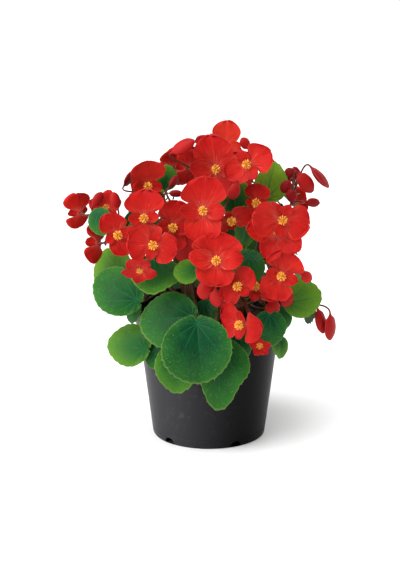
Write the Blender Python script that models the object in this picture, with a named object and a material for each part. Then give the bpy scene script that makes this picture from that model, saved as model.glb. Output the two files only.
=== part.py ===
"""Potted wax begonia in a round nursery pot, as one solid for each piece.

Metres, +Z up. The origin is the centre of the pot's base, and the plant's best side faces -Y.
The tables are in millimetres and degrees. az 0 faces -Y and az 90 faces +X, el is above the
horizon, and roll turns counterclockwise as seen by someone who faces the flower or the leaf.
"""

import math
from dataclasses import dataclass

import bmesh
import bpy
from mathutils import Matrix, Vector

MM = 0.001
GAP = 0.3                      # clearance that touching pieces keep
SHARP_DEG = 42.0               # edges steeper than this stay sharp

# Pot
POT_HEIGHT = 130.0
POT_BASE_R = 55.2
POT_LIP_R = 75.0
POT_WALL = 1.3
RIM_HEIGHT = 24.0              # stacking band under the lip
RIM_STEP = 2.0                 # how far the band stands out of the wall
PAD_R = 26.0                   # centre pad that the base rests on
FOOT_IN_R = 47.5               # inner edge of the foot ring
CHANNEL_RISE = 2.5             # raised ring between the pad and the foot
DRAIN_COUNT = 5
DRAIN_R = 5.4
DRAIN_FIRST_DEG = 28.0
ROUND_SEGMENTS = 32

# Soil
SOIL_TOP = 113.0
SOIL_DOME = 3.0
SOIL_LIFT = 0.45               # the soil's step stays this far above the pot's
STEM_HOLE_DEPTH = 14.0

# Plant
BLADE = 0.9                    # thickness of leaves and tepals
STEM_ROOT_R = 4.2
STEM_TIP_R = 2.2
PETIOLE_R = 1.5
PEDUNCLE_R = 1.3
PEDICEL_R = 0.95
STAMENS_R = 4.7
STAMENS_COLUMN = 2.0           # length of the column under the stamens
HUB_SHARE = 0.03               # half of a blade's flat middle, as a share of its size
LARGE_BLOOM = 50.0             # flowers of this size or more get a rounder outline
BUD_OUTLINE = (                # height, half width and half depth, as shares of a bud's size
    (0.50, 0.13, 0.05), (0.30, 0.36, 0.13), (0.0, 0.43, 0.17), (-0.32, 0.34, 0.12))
OVER_RIM = 10.0                # a petiole whose leaf hangs outside the pot clears the lip by this
LEAF_EDGE_POINTS = 16
LEAF_SPREAD = 0.75             # petiole joint to blade centre, in blade radii
LEAF_TOOTH = 0.022

RED = ("tepal_red", (0.56, 0.012, 0.010), 0.42)
GREEN = ("leaf_green", (0.075, 0.19, 0.035), 0.38)
YELLOW = ("stamen_yellow", (0.80, 0.42, 0.05), 0.60)
BLACK = ("pot_black", (0.030, 0.030, 0.032), 0.45)
BROWN = ("soil_brown", (0.045, 0.028, 0.018), 0.95)


@dataclass(frozen=True)
class Leaf:
    """A leaf: the place of its petiole joint, its facing, tip direction and length."""

    at: tuple
    az: float
    el: float
    roll: float
    length: float
    grows_at: float            # share of the stem's length


@dataclass(frozen=True)
class Stem:
    """A leafy stem: where it stands in the soil, what it grows through, and its leaves."""

    name: str
    root: tuple
    through: tuple
    leaves: tuple = ()


@dataclass(frozen=True)
class Bloom:
    """An open flower: male with two large and two small tepals, or female with five."""

    at: tuple
    az: float
    el: float
    roll: float
    size: float
    wide: float = 1.1          # width of the large tepals, as a share of their length
    side: float = 0.40         # length of the small tepals, as a share of the size
    opening: float = 22.0      # angle of the tepals in front of the flower's plane
    female: bool = False


@dataclass(frozen=True)
class Bud:
    """A closed bud: two tepals pressed into a flat lens."""

    at: tuple
    az: float
    el: float
    roll: float
    size: float


@dataclass(frozen=True)
class Spray:
    """A flower cluster: the stem it grows from, its fork, and what it carries."""

    name: str
    stem: str
    grows_at: float
    fork: tuple
    blooms: tuple
    buds: tuple = ()
    rise: float = 0.3          # how far below its fork the peduncle comes from; less than 0 droops


STEMS = (
    Stem("left_front", (-22, -26), ((-36, -42, 150), (-48, -52, 185), (-54, -54, 208)), (
        Leaf((-20, -84, 149), -15, 25, 100, 48, 0.48),
        Leaf((-62, -68, 117), -25, 25, 88, 40, 0.15),
        Leaf((-70, -70, 158), -20, 20, 66, 46, 0.55),
        Leaf((-53, -54, 191), 0, 68, 180, 44, 0.42),
    )),
    Stem("left", (-32, 2), ((-52, -8, 160), (-74, -18, 200), (-90, -26, 222)), (
        Leaf((-82, -50, 171), -30, 20, 53, 38, 0.55),
        Leaf((-84, -10, 182), -85, 30, 180, 44, 0.45),
        Leaf((-104, -62, 234), -20, 10, 200, 22, 0.98),
        Leaf((-70, -44, 147), -50, 20, 165, 20, 0.20),
        Leaf((-68, 16, 212), -80, 50, 150, 40, 0.70),
    )),
    Stem("centre_left", (-12, -12), ((-20, -24, 170), (-30, -32, 220), (-38, -34, 246)), (
        Leaf((-11, -98, 144), -5, 12, 178, 62, 0.30),
        Leaf((-26, -84, 113), -5, 14, 174, 43, 0.05),
        Leaf((-13, -92, 193), 0, 10, 98, 20, 0.62),
        Leaf((-41, -30, 262), 20, 10, -15, 20, 0.98),
    )),
    Stem("centre", (4, -2), ((8, -10, 180), (10, -16, 225), (9, -16, 254)), (
        Leaf((25, -41, 238), -10, 5, 8, 29, 0.85),
        Leaf((-4, -40, 182), -5, 20, 30, 26, 0.45),
    )),
    Stem("centre_right", (17, -20), ((26, -36, 160), (33, -42, 200), (38, -40, 226)), (
        Leaf((25, -78, 128), 15, 8, 175, 32, 0.12),
        Leaf((39, -72, 202), 0, 5, 180, 30, 0.60),
        Leaf((36, -52, 240), 58, 0, 178, 36, 0.98),
        Leaf((57, -84, 147), 10, 10, 182, 29, 0.45),
    )),
    Stem("right", (32, 0), ((48, -8, 165), (62, -20, 208), (70, -26, 238)), (
        Leaf((76, -68, 160), 15, 15, -80, 33, 0.45),
        Leaf((67, -68, 148), 30, 20, 180, 20, 0.35),
        Leaf((54, -32, 252), 5, 0, -8, 36, 0.95),
        Leaf((66, -74, 121), 45, 20, 175, 19, 0.20),
        Leaf((84, -12, 178), 80, 25, 180, 46, 0.62),
        Leaf((74, 12, 200), 80, 50, 210, 38, 0.60),
    )),
    Stem("right_front", (2, -36), ((12, -50, 130), (28, -56, 148)), (
        Leaf((5, -90, 110), 8, 10, 188, 52, 0.10),
    )),
    Stem("back_left", (-18, 24), ((-32, 36, 165), (-44, 42, 205), (-46, 38, 232)), (
        Leaf((-72, 34, 166), -110, 25, 180, 50, 0.45),
        Leaf((-44, 72, 150), -150, 25, 180, 50, 0.30),
        Leaf((-34, 74, 204), 200, 35, 180, 46, 0.75),
        Leaf((-18, 8, 218), 175, 62, 180, 34, 0.55),
        Leaf((-58, -2, 240), -105, 45, 180, 34, 0.97),
    )),
    Stem("back", (6, 30), ((8, 40, 170), (11, 44, 220), (9, 36, 252)), (
        Leaf((0, 88, 150), 180, 25, 180, 54, 0.28),
        Leaf((34, 76, 196), 160, 35, 180, 46, 0.65),
        Leaf((-8, 14, 264), 180, 62, 180, 36, 0.97),
    )),
    Stem("back_right", (27, 22), ((44, 34, 160), (55, 36, 200), (58, 28, 226)), (
        Leaf((46, 74, 146), 150, 25, 180, 54, 0.35),
        Leaf((80, 34, 152), 110, 25, 180, 52, 0.45),
        Leaf((30, 6, 212), 185, 60, 180, 34, 0.55),
        Leaf((66, 0, 250), 95, 45, 180, 30, 0.97),
    )),
)

SPRAYS = (
    Spray("top", "centre", 0.98, (8, -20, 264), (
        Bloom((6, -48, 283), 0, 8, 0, 66, wide=0.92, side=0.44),
        Bloom((37, -60, 291), -20, 8, -55, 54, wide=0.95),
        Bloom((16, -18, 293), 5, 12, -5, 56),
        Bloom((-22, -22, 277), -115, 5, 10, 36),
    ), (
        Bud((-26, -36, 302), -55, 25, -40, 25),
    )),
    Spray("upper_left", "centre_left", 0.97, (-46, -44, 254), (
        Bloom((-63, -84, 246), 0, 15, 5, 54, wide=1.25),
        Bloom((-58, -44, 266), 22, 0, 0, 50, wide=1.25, opening=26.0),
    ), (
        Bud((-34, -44, 267), 30, 20, -50, 14),
        Bud((-32, -52, 257), 10, 10, -95, 13),
    )),
    Spray("left", "left", 0.92, (-97, -24, 236), (
        Bloom((-87, -78, 226), 10, 10, 15, 44, wide=1.0),
        Bloom((-124, -30, 239), -140, 10, 0, 40, wide=1.3),
        Bloom((-109, -46, 211), -140, -10, 20, 36),
        Bloom((-102, -44, 244), -5, 20, 0, 38, female=True),
    ), (
        Bud((-110, -54, 256), 20, 10, -40, 15),
        Bud((-94, -58, 255), 10, 5, 10, 17),
    )),
    Spray("left_middle", "left_front", 0.96, (-50, -62, 214), (
        Bloom((-37, -78, 231), 15, 5, -15, 48, wide=1.0),
        Bloom((-54, -96, 221), -5, 0, 80, 48, wide=1.15, side=0.36),
        Bloom((-66, -98, 195), 0, 20, 0, 34, female=True),
    )),
    Spray("middle", "centre", 0.72, (8, -50, 224), (
        Bloom((-6, -90, 251), -3, 12, 3, 64, wide=1.0, side=0.36),
        Bloom((18, -76, 238), 20, -8, -65, 44, wide=0.8, side=0.30),
        Bloom((7, -104, 205), 0, 15, 0, 50, wide=1.42, side=0.56),
    ), (
        Bud((24, -74, 266), 10, 10, 105, 14),
    )),
    Spray("low_front", "right_front", 0.95, (35, -69, 158), (
        Bloom((27, -102, 180), -10, 10, -45, 42, wide=1.0),
        Bloom((43, -86, 172), 0, 40, -97, 54, wide=0.75, side=0.35),
        Bloom((32, -116, 147), -42, 0, 88, 56, wide=1.1),
        Bloom((47, -98, 117), 5, 50, 0, 24, female=True),
    ), (
        Bud((-4, -94, 174), 0, 10, 160, 18),
        Bud((7, -98, 167), -10, 0, 190, 17),
    )),
    Spray("right_middle", "right", 0.80, (64, -44, 228), (
        Bloom((44, -56, 253), -15, 0, 0, 38),
        Bloom((69, -92, 243), 12, 0, 78, 62, wide=1.0, side=0.32),
        Bloom((58, -82, 227), 0, 25, 172, 54, female=True),
    )),
    Spray("right_low", "right", 0.55, (76, -48, 182), (
        Bloom((67, -94, 188), 0, 5, -20, 52, wide=1.2),
    ), (
        Bud((92, -74, 182), 30, 10, -120, 12),
    )),
    Spray("hanging", "right", 0.12, (97, -46, 141), (), (
        Bud((108, -50, 130), 35, 10, 190, 25),
        Bud((117, -54, 125), 50, 0, 182, 24),
    ), rise=-0.2),
    Spray("upper_right", "right", 0.98, (80, -32, 250), (), (
        Bud((106, -30, 270), 80, 42, 180, 26),
        Bud((92, -36, 266), 10, 20, 200, 24),
        Bud((78, -28, 270), 0, 10, 30, 14),
        Bud((73, -44, 262), -10, 10, 150, 13),
        Bud((98, -42, 249), 20, 0, -100, 13),
        Bud((63, -46, 260), 0, 10, 80, 11),
    )),
    Spray("back_left", "back_left", 0.97, (-50, 48, 238), (
        Bloom((-62, 62, 226), -145, 20, 0, 56),
        Bloom((-26, 68, 256), -165, 25, 0, 56),
        Bloom((-96, 16, 208), -95, 5, 0, 46),
        Bloom((-38, 16, 268), -110, 45, 0, 46),
    ), (
        Bud((-80, 40, 252), -120, 20, 40, 18),
    )),
    Spray("back", "back", 0.98, (8, 42, 264), (
        Bloom((2, 34, 280), 175, 50, 0, 52),
        Bloom((26, 80, 228), 170, 10, 0, 56),
    ), (
        Bud((26, 62, 276), 170, 20, -30, 18),
    )),
    Spray("back_right", "back_right", 0.97, (62, 38, 236), (
        Bloom((60, 62, 244), 140, 20, 0, 52),
        Bloom((92, 16, 228), 95, 15, 0, 46),
        Bloom((38, 20, 270), 120, 50, 0, 46),
    ), (
        Bud((88, 42, 256), 120, 20, 30, 18),
    )),
)


def vary(seed: float, turn: int) -> float:
    """A fixed number from -1 to 1 for a seed and a turn, so that no two pieces grow alike."""
    value = math.sin(seed * 12.9898 + turn * 78.233) * 43758.5453
    return 2.0 * (value - math.floor(value)) - 1.0


def facing(az: float, el: float, roll: float) -> Matrix:
    """The turn whose Z faces az and el, and whose Y is up before roll."""
    a, e, r = (math.radians(v) for v in (az, el, roll))
    out = Vector((math.sin(a) * math.cos(e), -math.cos(a) * math.cos(e), math.sin(e)))
    up = Vector((-math.sin(a) * math.sin(e), math.cos(a) * math.sin(e), math.cos(e)))
    side = up.cross(out)
    across = side * math.cos(r) + up * math.sin(r)
    along = up * math.cos(r) - side * math.sin(r)
    return Matrix((across, along, out)).transposed()


def metres(at) -> Vector:
    """A place in millimetres, in metres."""
    return Vector(at) * MM


def material(finish: tuple) -> bpy.types.Material:
    """The Principled material of that name, made the first time that it is asked for."""
    name, colour, roughness = finish
    made = bpy.data.materials.get(name)
    if made is None:
        made = bpy.data.materials.new(name)
        made.use_nodes = True
        shader = made.node_tree.nodes["Principled BSDF"]
        shader.inputs["Base Color"].default_value = (*colour, 1.0)
        shader.inputs["Roughness"].default_value = roughness
        shader.inputs["Metallic"].default_value = 0.0
    return made


def mesh_object(name: str, points: list, faces: list) -> bpy.types.Object:
    """An object from points in millimetres and faces."""
    mesh = bpy.data.meshes.new(name)
    mesh.from_pydata([metres(p) for p in points], [], faces)
    made = bpy.data.objects.new(name, mesh)
    bpy.context.scene.collection.objects.link(made)
    return made


def smooth(points: list, spans: int) -> list:
    """Points on a Catmull-Rom curve through the given ones, spans steps for each stretch."""
    ends = [2 * points[0] - points[1], *points, 2 * points[-1] - points[-2]]
    found = []
    for p0, p1, p2, p3 in zip(ends, ends[1:], ends[2:], ends[3:]):
        for step in range(spans):
            t = step / spans
            found.append(
                0.5 * (2 * p1 + (p2 - p0) * t + (2 * p0 - 5 * p1 + 4 * p2 - p3) * t * t
                       + (3 * p1 - p0 - 3 * p2 + p3) * t ** 3))
    return [*found, points[-1]]


def bend(start: Vector, lean: Vector, arrive: Vector, end: Vector, steps: int) -> list:
    """Points on a Bezier curve that leaves start towards lean and comes to end from arrive."""
    found = []
    for step in range(steps + 1):
        t = step / steps
        found.append(start * (1 - t) ** 3 + lean * 3 * t * (1 - t) ** 2
                     + arrive * 3 * t * t * (1 - t) + end * t ** 3)
    return found


def rings_along(path: list, radii: list, across: Vector, sides: int) -> list:
    """Rings of points round a path, turned as little as the path allows from across.

    A radius is a number, or a pair that takes turns round the ring, for wings.
    """
    rings = []
    for index, (centre, radius) in enumerate(zip(path, radii)):
        tangent = Vector()
        if index:
            tangent += (centre - path[index - 1]).normalized()
        if index < len(path) - 1:
            tangent += (path[index + 1] - centre).normalized()
        tangent.normalize()
        across = (across - tangent * across.dot(tangent)).normalized()
        second = tangent.cross(across)
        reach = radius if isinstance(radius, tuple) else (radius, radius)
        ring = []
        for side in range(sides):
            angle = 2 * math.pi * side / sides
            way = across * math.cos(angle) + second * math.sin(angle)
            ring.append(centre + way * reach[side % 2])
        rings.append(ring)
    return rings


def ring_faces(first: int, count: int, sides: int) -> list:
    """Faces between rings that follow each other in the point list, without end caps."""
    faces = []
    for ring in range(count - 1):
        for side in range(sides):
            a = first + ring * sides + side
            b = first + ring * sides + (side + 1) % sides
            faces.append((a, b, b + sides, a + sides))
    return faces


def closed_rings(name: str, rings: list) -> bpy.types.Object:
    """A closed stalk from rings that turn counterclockwise round the way they run."""
    sides = len(rings[0])
    points = [point for ring in rings for point in ring]
    last = len(points)
    caps = [tuple(reversed(range(sides))), tuple(range(last - sides, last))]
    return mesh_object(name, points, caps + ring_faces(0, len(rings), sides))


def tube(name: str, path: list, radii: list, sides: int) -> bpy.types.Object:
    """A round stalk along a path, with a radius at each point and closed ends."""
    return closed_rings(name, rings_along(path, radii, (path[1] - path[0]).orthogonal(), sides))


def taper(first: float, last: float, count: int) -> list:
    """Radii that run evenly from first to last."""
    return [first + (last - first) * step / (count - 1) for step in range(count)]


def hub_points(half: float) -> list:
    """The four corners that a blade's middle and its stalk share, counterclockwise from +X+Y."""
    return [Vector((half, half, 0)), Vector((-half, half, 0)),
            Vector((-half, -half, 0)), Vector((half, -half, 0))]


def thick(skin: tuple) -> tuple:
    """A skin, its underside a blade's thickness below, and the edge between them."""
    points, faces, rim = skin
    normals = [Vector() for _ in points]
    for a, b, c in faces:
        normal = (points[b] - points[a]).cross(points[c] - points[a])
        for index in (a, b, c):
            normals[index] += normal
    under = [p - n.normalized() * BLADE for p, n in zip(points, normals)]
    count = len(points)
    closed = faces + [(c + count, b + count, a + count) for a, b, c in faces]
    for here, there in zip(rim, rim[1:] + rim[:1]):
        closed += [(there, here, here + count), (there, here + count, there + count)]
    return points + under, closed


def stalked_blade(name: str, at, turn: Matrix, skin: tuple, path: list, radii: list) -> bpy.types.Object:
    """A thin closed blade on its stalk, as one mesh.

    The skin's first four points are its hub. The underside is open there, and the stalk goes on
    from it along the path.
    """
    points, faces = thick(skin)
    count = len(skin[0])
    hub = set(range(count, count + 4))
    faces = [face for face in faces if not hub.issuperset(face)]
    world = [Vector(at) + turn @ point for point in points]
    middle = Vector(at) - turn.col[2] * BLADE
    for ring in rings_along([middle, *path], [0.0, *radii], turn @ Vector((1, 1, 0)), 4)[1:]:
        world += [ring[0], ring[3], ring[2], ring[1]]
    stalk = 2 * count
    last = len(world)
    faces += [(b, a, d, c) for a, b, c, d in ring_faces(stalk, len(path), 4)]
    for k in range(4):
        n = (k + 1) % 4
        faces.append((count + n, count + k, stalk + k, stalk + n))
    faces.append(tuple(reversed(range(last - 4, last))))
    return mesh_object(name, world, faces)


def shaded(mesh: bpy.types.Mesh) -> None:
    """Smooth shading, with sharp edges kept where faces meet steeply."""
    mesh.shade_smooth()
    mesh.set_sharp_from_angle(angle=math.radians(SHARP_DEG))


def fused(name: str, pieces: list, finish: tuple) -> bpy.types.Object:
    """One solid from overlapping pieces."""
    body, *others = pieces
    gathered = bpy.data.collections.new(name + "_pieces")
    for piece in others:
        gathered.objects.link(piece)
    join = body.modifiers.new("join", "BOOLEAN")
    join.operation = "UNION"
    join.operand_type = "COLLECTION"
    join.collection = gathered
    join.solver = "EXACT"
    bpy.context.view_layer.update()
    graph = bpy.context.evaluated_depsgraph_get()
    mesh = bpy.data.meshes.new_from_object(body.evaluated_get(graph))
    for piece in pieces:
        bpy.data.objects.remove(piece)
    bpy.data.collections.remove(gathered)
    mesh.name = name
    mesh.materials.clear()
    mesh.materials.append(material(finish))
    shaded(mesh)
    made = bpy.data.objects.new(name, mesh)
    bpy.context.scene.collection.objects.link(made)
    return made


def turned(name: str, profile: list, finish: tuple) -> bpy.types.Object:
    """A profile of radius and height, from axis to axis, turned about Z."""
    mesh = bmesh.new()
    points = [mesh.verts.new(metres((r, 0, z))) for r, z in profile]
    edges = [mesh.edges.new(pair) for pair in zip(points, points[1:])]
    bmesh.ops.spin(mesh, geom=points + edges, cent=(0, 0, 0), axis=(0, 0, 1),
                   angle=2 * math.pi, steps=ROUND_SEGMENTS, use_merge=True)
    bmesh.ops.remove_doubles(mesh, verts=mesh.verts, dist=1e-6)
    bmesh.ops.recalc_face_normals(mesh, faces=mesh.faces)
    data = bpy.data.meshes.new(name)
    mesh.to_mesh(data)
    mesh.free()
    data.materials.append(material(finish))
    shaded(data)
    made = bpy.data.objects.new(name, data)
    bpy.context.scene.collection.objects.link(made)
    return made


def cut(body: bpy.types.Object, cutters: list) -> None:
    """The cutters taken out of the body."""
    for index, cutter in enumerate(cutters):
        cutter.hide_render = True
        cutter.display_type = "WIRE"
        cutter.name = f"{body.name}_cutter_{index + 1}"
        taken = body.modifiers.new("cut", "BOOLEAN")
        taken.operation = "DIFFERENCE"
        taken.solver = "EXACT"
        taken.object = cutter


def wall_radius(height: float) -> float:
    """The outer radius of the pot's wall at a height, without its band and corner."""
    return POT_BASE_R + 1.2 + (POT_LIP_R - RIM_STEP - POT_BASE_R - 1.2) * height / POT_HEIGHT


def build_pot() -> None:
    """The moulded pot: pad, channel, foot, tapered wall, stacking band and drain holes."""
    band = POT_HEIGHT - RIM_HEIGHT
    floor = CHANNEL_RISE + POT_WALL
    outside = [
        (0, 0), (PAD_R, 0), (PAD_R + 2, CHANNEL_RISE), (FOOT_IN_R - 2, CHANNEL_RISE),
        (FOOT_IN_R, 0), (POT_BASE_R, 0), (wall_radius(1.6), 1.6), (wall_radius(band - 2), band - 2),
        (wall_radius(band) + RIM_STEP, band), (POT_LIP_R, POT_HEIGHT - 1),
        (POT_LIP_R - 0.8, POT_HEIGHT)]
    inside = [
        (POT_LIP_R - POT_WALL - 0.4, POT_HEIGHT), (wall_radius(band) + RIM_STEP - POT_WALL, band + 1.5),
        (wall_radius(band - 1) - POT_WALL, band - 1), (wall_radius(floor) - POT_WALL, floor),
        (0, floor)]
    pot = turned("pot", outside + inside, BLACK)
    drains = []
    for index in range(DRAIN_COUNT):
        angle = math.radians(DRAIN_FIRST_DEG + index * 360 / DRAIN_COUNT)
        out = Vector((math.sin(angle), -math.cos(angle), 0))
        path = [out * (POT_BASE_R - 7), out * (POT_BASE_R + 4)]
        drains.append(tube("drain", path, [DRAIN_R, DRAIN_R], 12))
    cut(pot, drains)


def soil_height(radius: float) -> float:
    """The height of the soil's surface at a distance from the middle."""
    return SOIL_TOP + SOIL_DOME * (1 - (radius / wall_radius(SOIL_TOP)) ** 2)


def build_soil() -> None:
    """The potting mix that fills the pot, with a plain hole for each stem."""
    clear = POT_WALL + GAP
    floor = CHANNEL_RISE + POT_WALL + GAP
    band = POT_HEIGHT - RIM_HEIGHT
    edge = wall_radius(band) + RIM_STEP - clear
    profile = [
        (0, floor), (wall_radius(floor) - clear, floor),
        (wall_radius(band - 1) - clear, band - 1 + SOIL_LIFT), (edge, band + 1.5 + SOIL_LIFT),
        (edge, soil_height(edge)), (40, soil_height(40)), (0, soil_height(0))]
    soil = turned("soil", profile, BROWN)
    holes = []
    for stem in STEMS:
        x, y = stem.root
        path = [Vector((x, y, SOIL_TOP - STEM_HOLE_DEPTH)), Vector((x, y, SOIL_TOP + 10))]
        wide = (STEM_ROOT_R + GAP) / math.cos(math.pi / 6)
        holes.append(tube("hole", path, [wide, wide], 6))
    cut(soil, holes)


def stem_path(stem: Stem) -> list:
    """The stem's centreline: upright in its hole, then a smooth curve."""
    x, y = stem.root
    foot = Vector((x, y, SOIL_TOP - STEM_HOLE_DEPTH + GAP))
    collar = Vector((x, y, soil_height(math.hypot(x, y)) + 1.5))
    return [foot, *smooth([collar, *map(Vector, stem.through)], 3)]


def along_stem(stem: Stem, share: float) -> tuple:
    """The point, tangent and radius at a share of the stem's curve above the soil."""
    path = stem_path(stem)[1:]
    place = min(max(share, 0.0), 1.0) * (len(path) - 1)
    index = min(int(place), len(path) - 2)
    point = path[index].lerp(path[index + 1], place - index)
    radius = STEM_ROOT_R + (STEM_TIP_R - STEM_ROOT_R) * (place + 1) / len(path)
    return point, (path[index + 1] - path[index]).normalized(), radius


def leaf_reach(angle: float, leaf: Leaf) -> float:
    """The leaf's outline: distance from the petiole joint at an angle from the tip."""
    radius = leaf.length / (1 + LEAF_SPREAD)
    spread = LEAF_SPREAD * radius
    reach = spread * math.cos(angle) + math.sqrt(radius ** 2 - (spread * math.sin(angle)) ** 2)
    notch = 1 - 0.45 * math.exp(-(((math.pi - abs(angle)) / 0.24) ** 2))
    tip = 1 + (0.09 + 0.04 * vary(leaf.at[0], 6)) * math.exp(-((angle / 0.3) ** 2))
    oblique = 1 + 0.10 * math.copysign(1, vary(leaf.at[0], 1)) * math.sin(angle)
    return reach * notch * tip * oblique


def leaf_point(leaf: Leaf, angle: float, share: float, tooth: float = 0.0) -> Vector:
    """A point of the upper skin, at an angle from the tip and a share of the reach."""
    seed = leaf.at[0] + leaf.at[2]
    reach = leaf_reach(angle, leaf) * (1 + tooth)
    x = -share * reach * math.sin(angle)
    y = share * reach * math.cos(angle)
    radius = leaf.length / (1 + LEAF_SPREAD)
    off = math.hypot(x, y - LEAF_SPREAD * radius) / radius
    fold = (0.16 + 0.10 * vary(seed, 2)) * abs(x)
    dish = (-0.16 + 0.08 * vary(seed, 3)) * radius * (off ** 2 - LEAF_SPREAD ** 2)
    wave = 0.08 * radius * (math.hypot(x, y) / leaf.length) ** 2 * math.sin(3 * angle + 3 * vary(seed, 4))
    return Vector((x, y, fold + dish + wave))


def wrapped(angle: float) -> float:
    """The same angle, from -pi to pi."""
    return (angle + math.pi) % (2 * math.pi) - math.pi


def leaf_skin(leaf: Leaf) -> tuple:
    """The waved, toothed upper skin: a hub of 4 points, a ring of 8 and an edge of 16."""
    step = 2 * math.pi / LEAF_EDGE_POINTS
    inner = LEAF_EDGE_POINTS // 2
    points = hub_points(HUB_SHARE * leaf.length)
    for index in range(inner):
        share = 0.38 if index in (inner // 2 - 1, inner // 2) else 0.55
        points.append(leaf_point(leaf, wrapped((2 * index + 1) * step), share))
    for index in range(LEAF_EDGE_POINTS):
        tooth = LEAF_TOOTH if index % 2 else -LEAF_TOOTH
        points.append(leaf_point(leaf, wrapped(index * step), 1.0, tooth))
    rim = list(range(4 + inner, 4 + inner + LEAF_EDGE_POINTS))
    faces = [(0, 1, 2), (0, 2, 3)]
    for index in range(inner):
        here, there = 4 + index, 4 + (index + 1) % inner
        first, middle, last = (rim[(2 * index + on) % LEAF_EDGE_POINTS] for on in range(3))
        faces += [(here, first, middle), (here, middle, last), (here, last, there)]
        hub = (index // 2 + 1) % 4
        faces.append((hub, here, there))
        if index % 2:
            faces.append((hub, there, (hub + 1) % 4))
    return points, faces, rim


def stalked_leaf(stem: Stem, leaf: Leaf) -> bpy.types.Object:
    """A blade with its petiole, which runs back into the stem."""
    turn = facing(leaf.az, leaf.el, leaf.roll)
    tip, out = turn.col[1], turn.col[2]
    root, tangent, _ = along_stem(stem, leaf.grows_at)
    joint = Vector(leaf.at) - out * (BLADE + 2.0)
    if leaf.at[2] < POT_HEIGHT + OVER_RIM:
        joint = Vector(leaf.at) - out * (BLADE + 2.0 + 0.05 * leaf.length)
    far = (root - joint).length
    arrive = joint - (tip * 0.4 + out * 0.8).normalized() * 0.3 * far
    lean = root + (tangent + (joint - root).normalized()) * 0.2 * far
    if leaf.at[2] < POT_HEIGHT + OVER_RIM:
        outward = Vector((leaf.at[0], leaf.at[1], 0)).normalized()
        arrive = joint + Vector((0, 0, POT_HEIGHT + 3 * OVER_RIM - leaf.at[2]))
        lean = Vector((*(0.7 * outward * POT_LIP_R).xy, POT_HEIGHT + 2 * OVER_RIM))
    path = bend(joint, arrive, lean, root, 3)
    thin = min(PETIOLE_R, 0.045 * leaf.length)
    return stalked_blade("leaf", leaf.at, turn, leaf_skin(leaf), path, taper(thin, 1.1 * thin, len(path)))


def build_stem(stem: Stem) -> None:
    """One leafy stem, fused from its stalk and its leaves."""
    path = stem_path(stem)
    stalk = tube("stalk", path, taper(STEM_ROOT_R, STEM_TIP_R, len(path)), 5)
    fused("stem_" + stem.name, [stalk] + [stalked_leaf(stem, leaf) for leaf in stem.leaves], GREEN)


def tepal_point(shape: tuple, along: float, across: float) -> Vector:
    """A point of a tepal's upper skin; along runs 0 to 1 from its base, across -1 to 1."""
    length, width, blunt, opening, cup, flare, seed = shape
    y = length * along
    claw = 0.2 * HUB_SHARE * length + (0.62 + flare * along * along) * y
    full = 0.5 * width * (4 * along * (1 - along)) ** blunt
    x = across * full / (1 + (full / claw) ** 8) ** 0.125
    rise = math.radians(opening)
    out = y * math.cos(rise)
    lift = y * math.sin(rise) - 0.22 * y * along
    dish = cup * x * x / width
    wave = 0.04 * width * along * abs(across) ** 3 * math.sin(4 * along + 3 * vary(seed, 5))
    return Vector((x, out - 0.4 * dish * math.sin(rise), lift + dish + wave))


def tepal_rows(shape: tuple, turn: float, stations: tuple) -> list:
    """Rows of points right, middle, left up a tepal, then its tip, turned by turn degrees."""
    spin = Matrix.Rotation(math.radians(turn), 3, "Z")
    points = []
    for along in stations:
        points += [spin @ tepal_point(shape, along, across) for across in (1.0, 0.0, -1.0)]
    return [*points, spin @ tepal_point(shape, 1.0, 0.0)]


def corolla_skin(hub: list, tepals: list) -> tuple:
    """One skin from the tepals' rows, joined at the corners of their hub, with its edge."""
    points = list(hub)
    faces = [(0, k, k + 1) for k in range(1, len(hub) - 1)]
    rim = []
    for index, rows in enumerate(tepals):
        right, left = index, (index + 1) % len(hub)
        first = len(points)
        last = first + len(rows) - 1
        points += rows
        faces += [(right, first, first + 1), (right, first + 1, left), (left, first + 1, first + 2)]
        for row in range(first, last - 3, 3):
            for a in (row, row + 1):
                faces += [(a, a + 3, a + 4), (a, a + 4, a + 1)]
        faces += [(last - 3, last, last - 2), (last - 2, last, last - 1)]
        rim += [right, *range(first, last, 3), last, *range(last - 1, first, -3)]
    return points, faces, rim


def male_skin(bloom: Bloom) -> tuple:
    """Two large tepals, up and down, and two small ones at the sides, in front of them."""
    seed = bloom.at[0] + bloom.at[2]
    stations = (0.09, 0.34, 0.66, 0.92) if bloom.size >= LARGE_BLOOM else (0.13, 0.50, 0.88)
    tepals = []
    for index in range(4):
        if index % 2:
            length = bloom.size * (bloom.side + 0.02 * vary(seed, index))
            lift = bloom.opening + (14 if bloom.opening < 30 else -14)
            shape = (length, 0.66 * length, 0.6, lift, 0.4, 0.0, seed + index)
            tepals.append(tepal_rows(shape, 90 * index, (0.28, 0.74)))
        else:
            length = bloom.size * (0.54 if index == 0 else 0.50)
            width = length * bloom.wide * (1.0 if index == 0 else 0.85)
            lift = bloom.opening + 3 * vary(seed, index)
            shape = (length, width, 0.5, lift, 0.35, 9.0, seed + index)
            tepals.append(tepal_rows(shape, 90 * index, stations))
    return corolla_skin(hub_points(HUB_SHARE * bloom.size), tepals)


def female_skin(bloom: Bloom) -> tuple:
    """Five pointed tepals."""
    seed = bloom.at[0] + bloom.at[2]
    hub = []
    tepals = []
    for index in range(5):
        corner = math.radians(54 + 72 * index)
        hub.append(Vector((math.cos(corner), math.sin(corner), 0)) * 0.045 * bloom.size)
        length = bloom.size * (0.50 + 0.04 * vary(seed, index))
        shape = (length, 0.56 * length, 0.6, bloom.opening + 8, 0.5, 0.0, seed + index)
        tepals.append(tepal_rows(shape, 72 * index, (0.48,)))
    return corolla_skin(hub, tepals)


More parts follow.
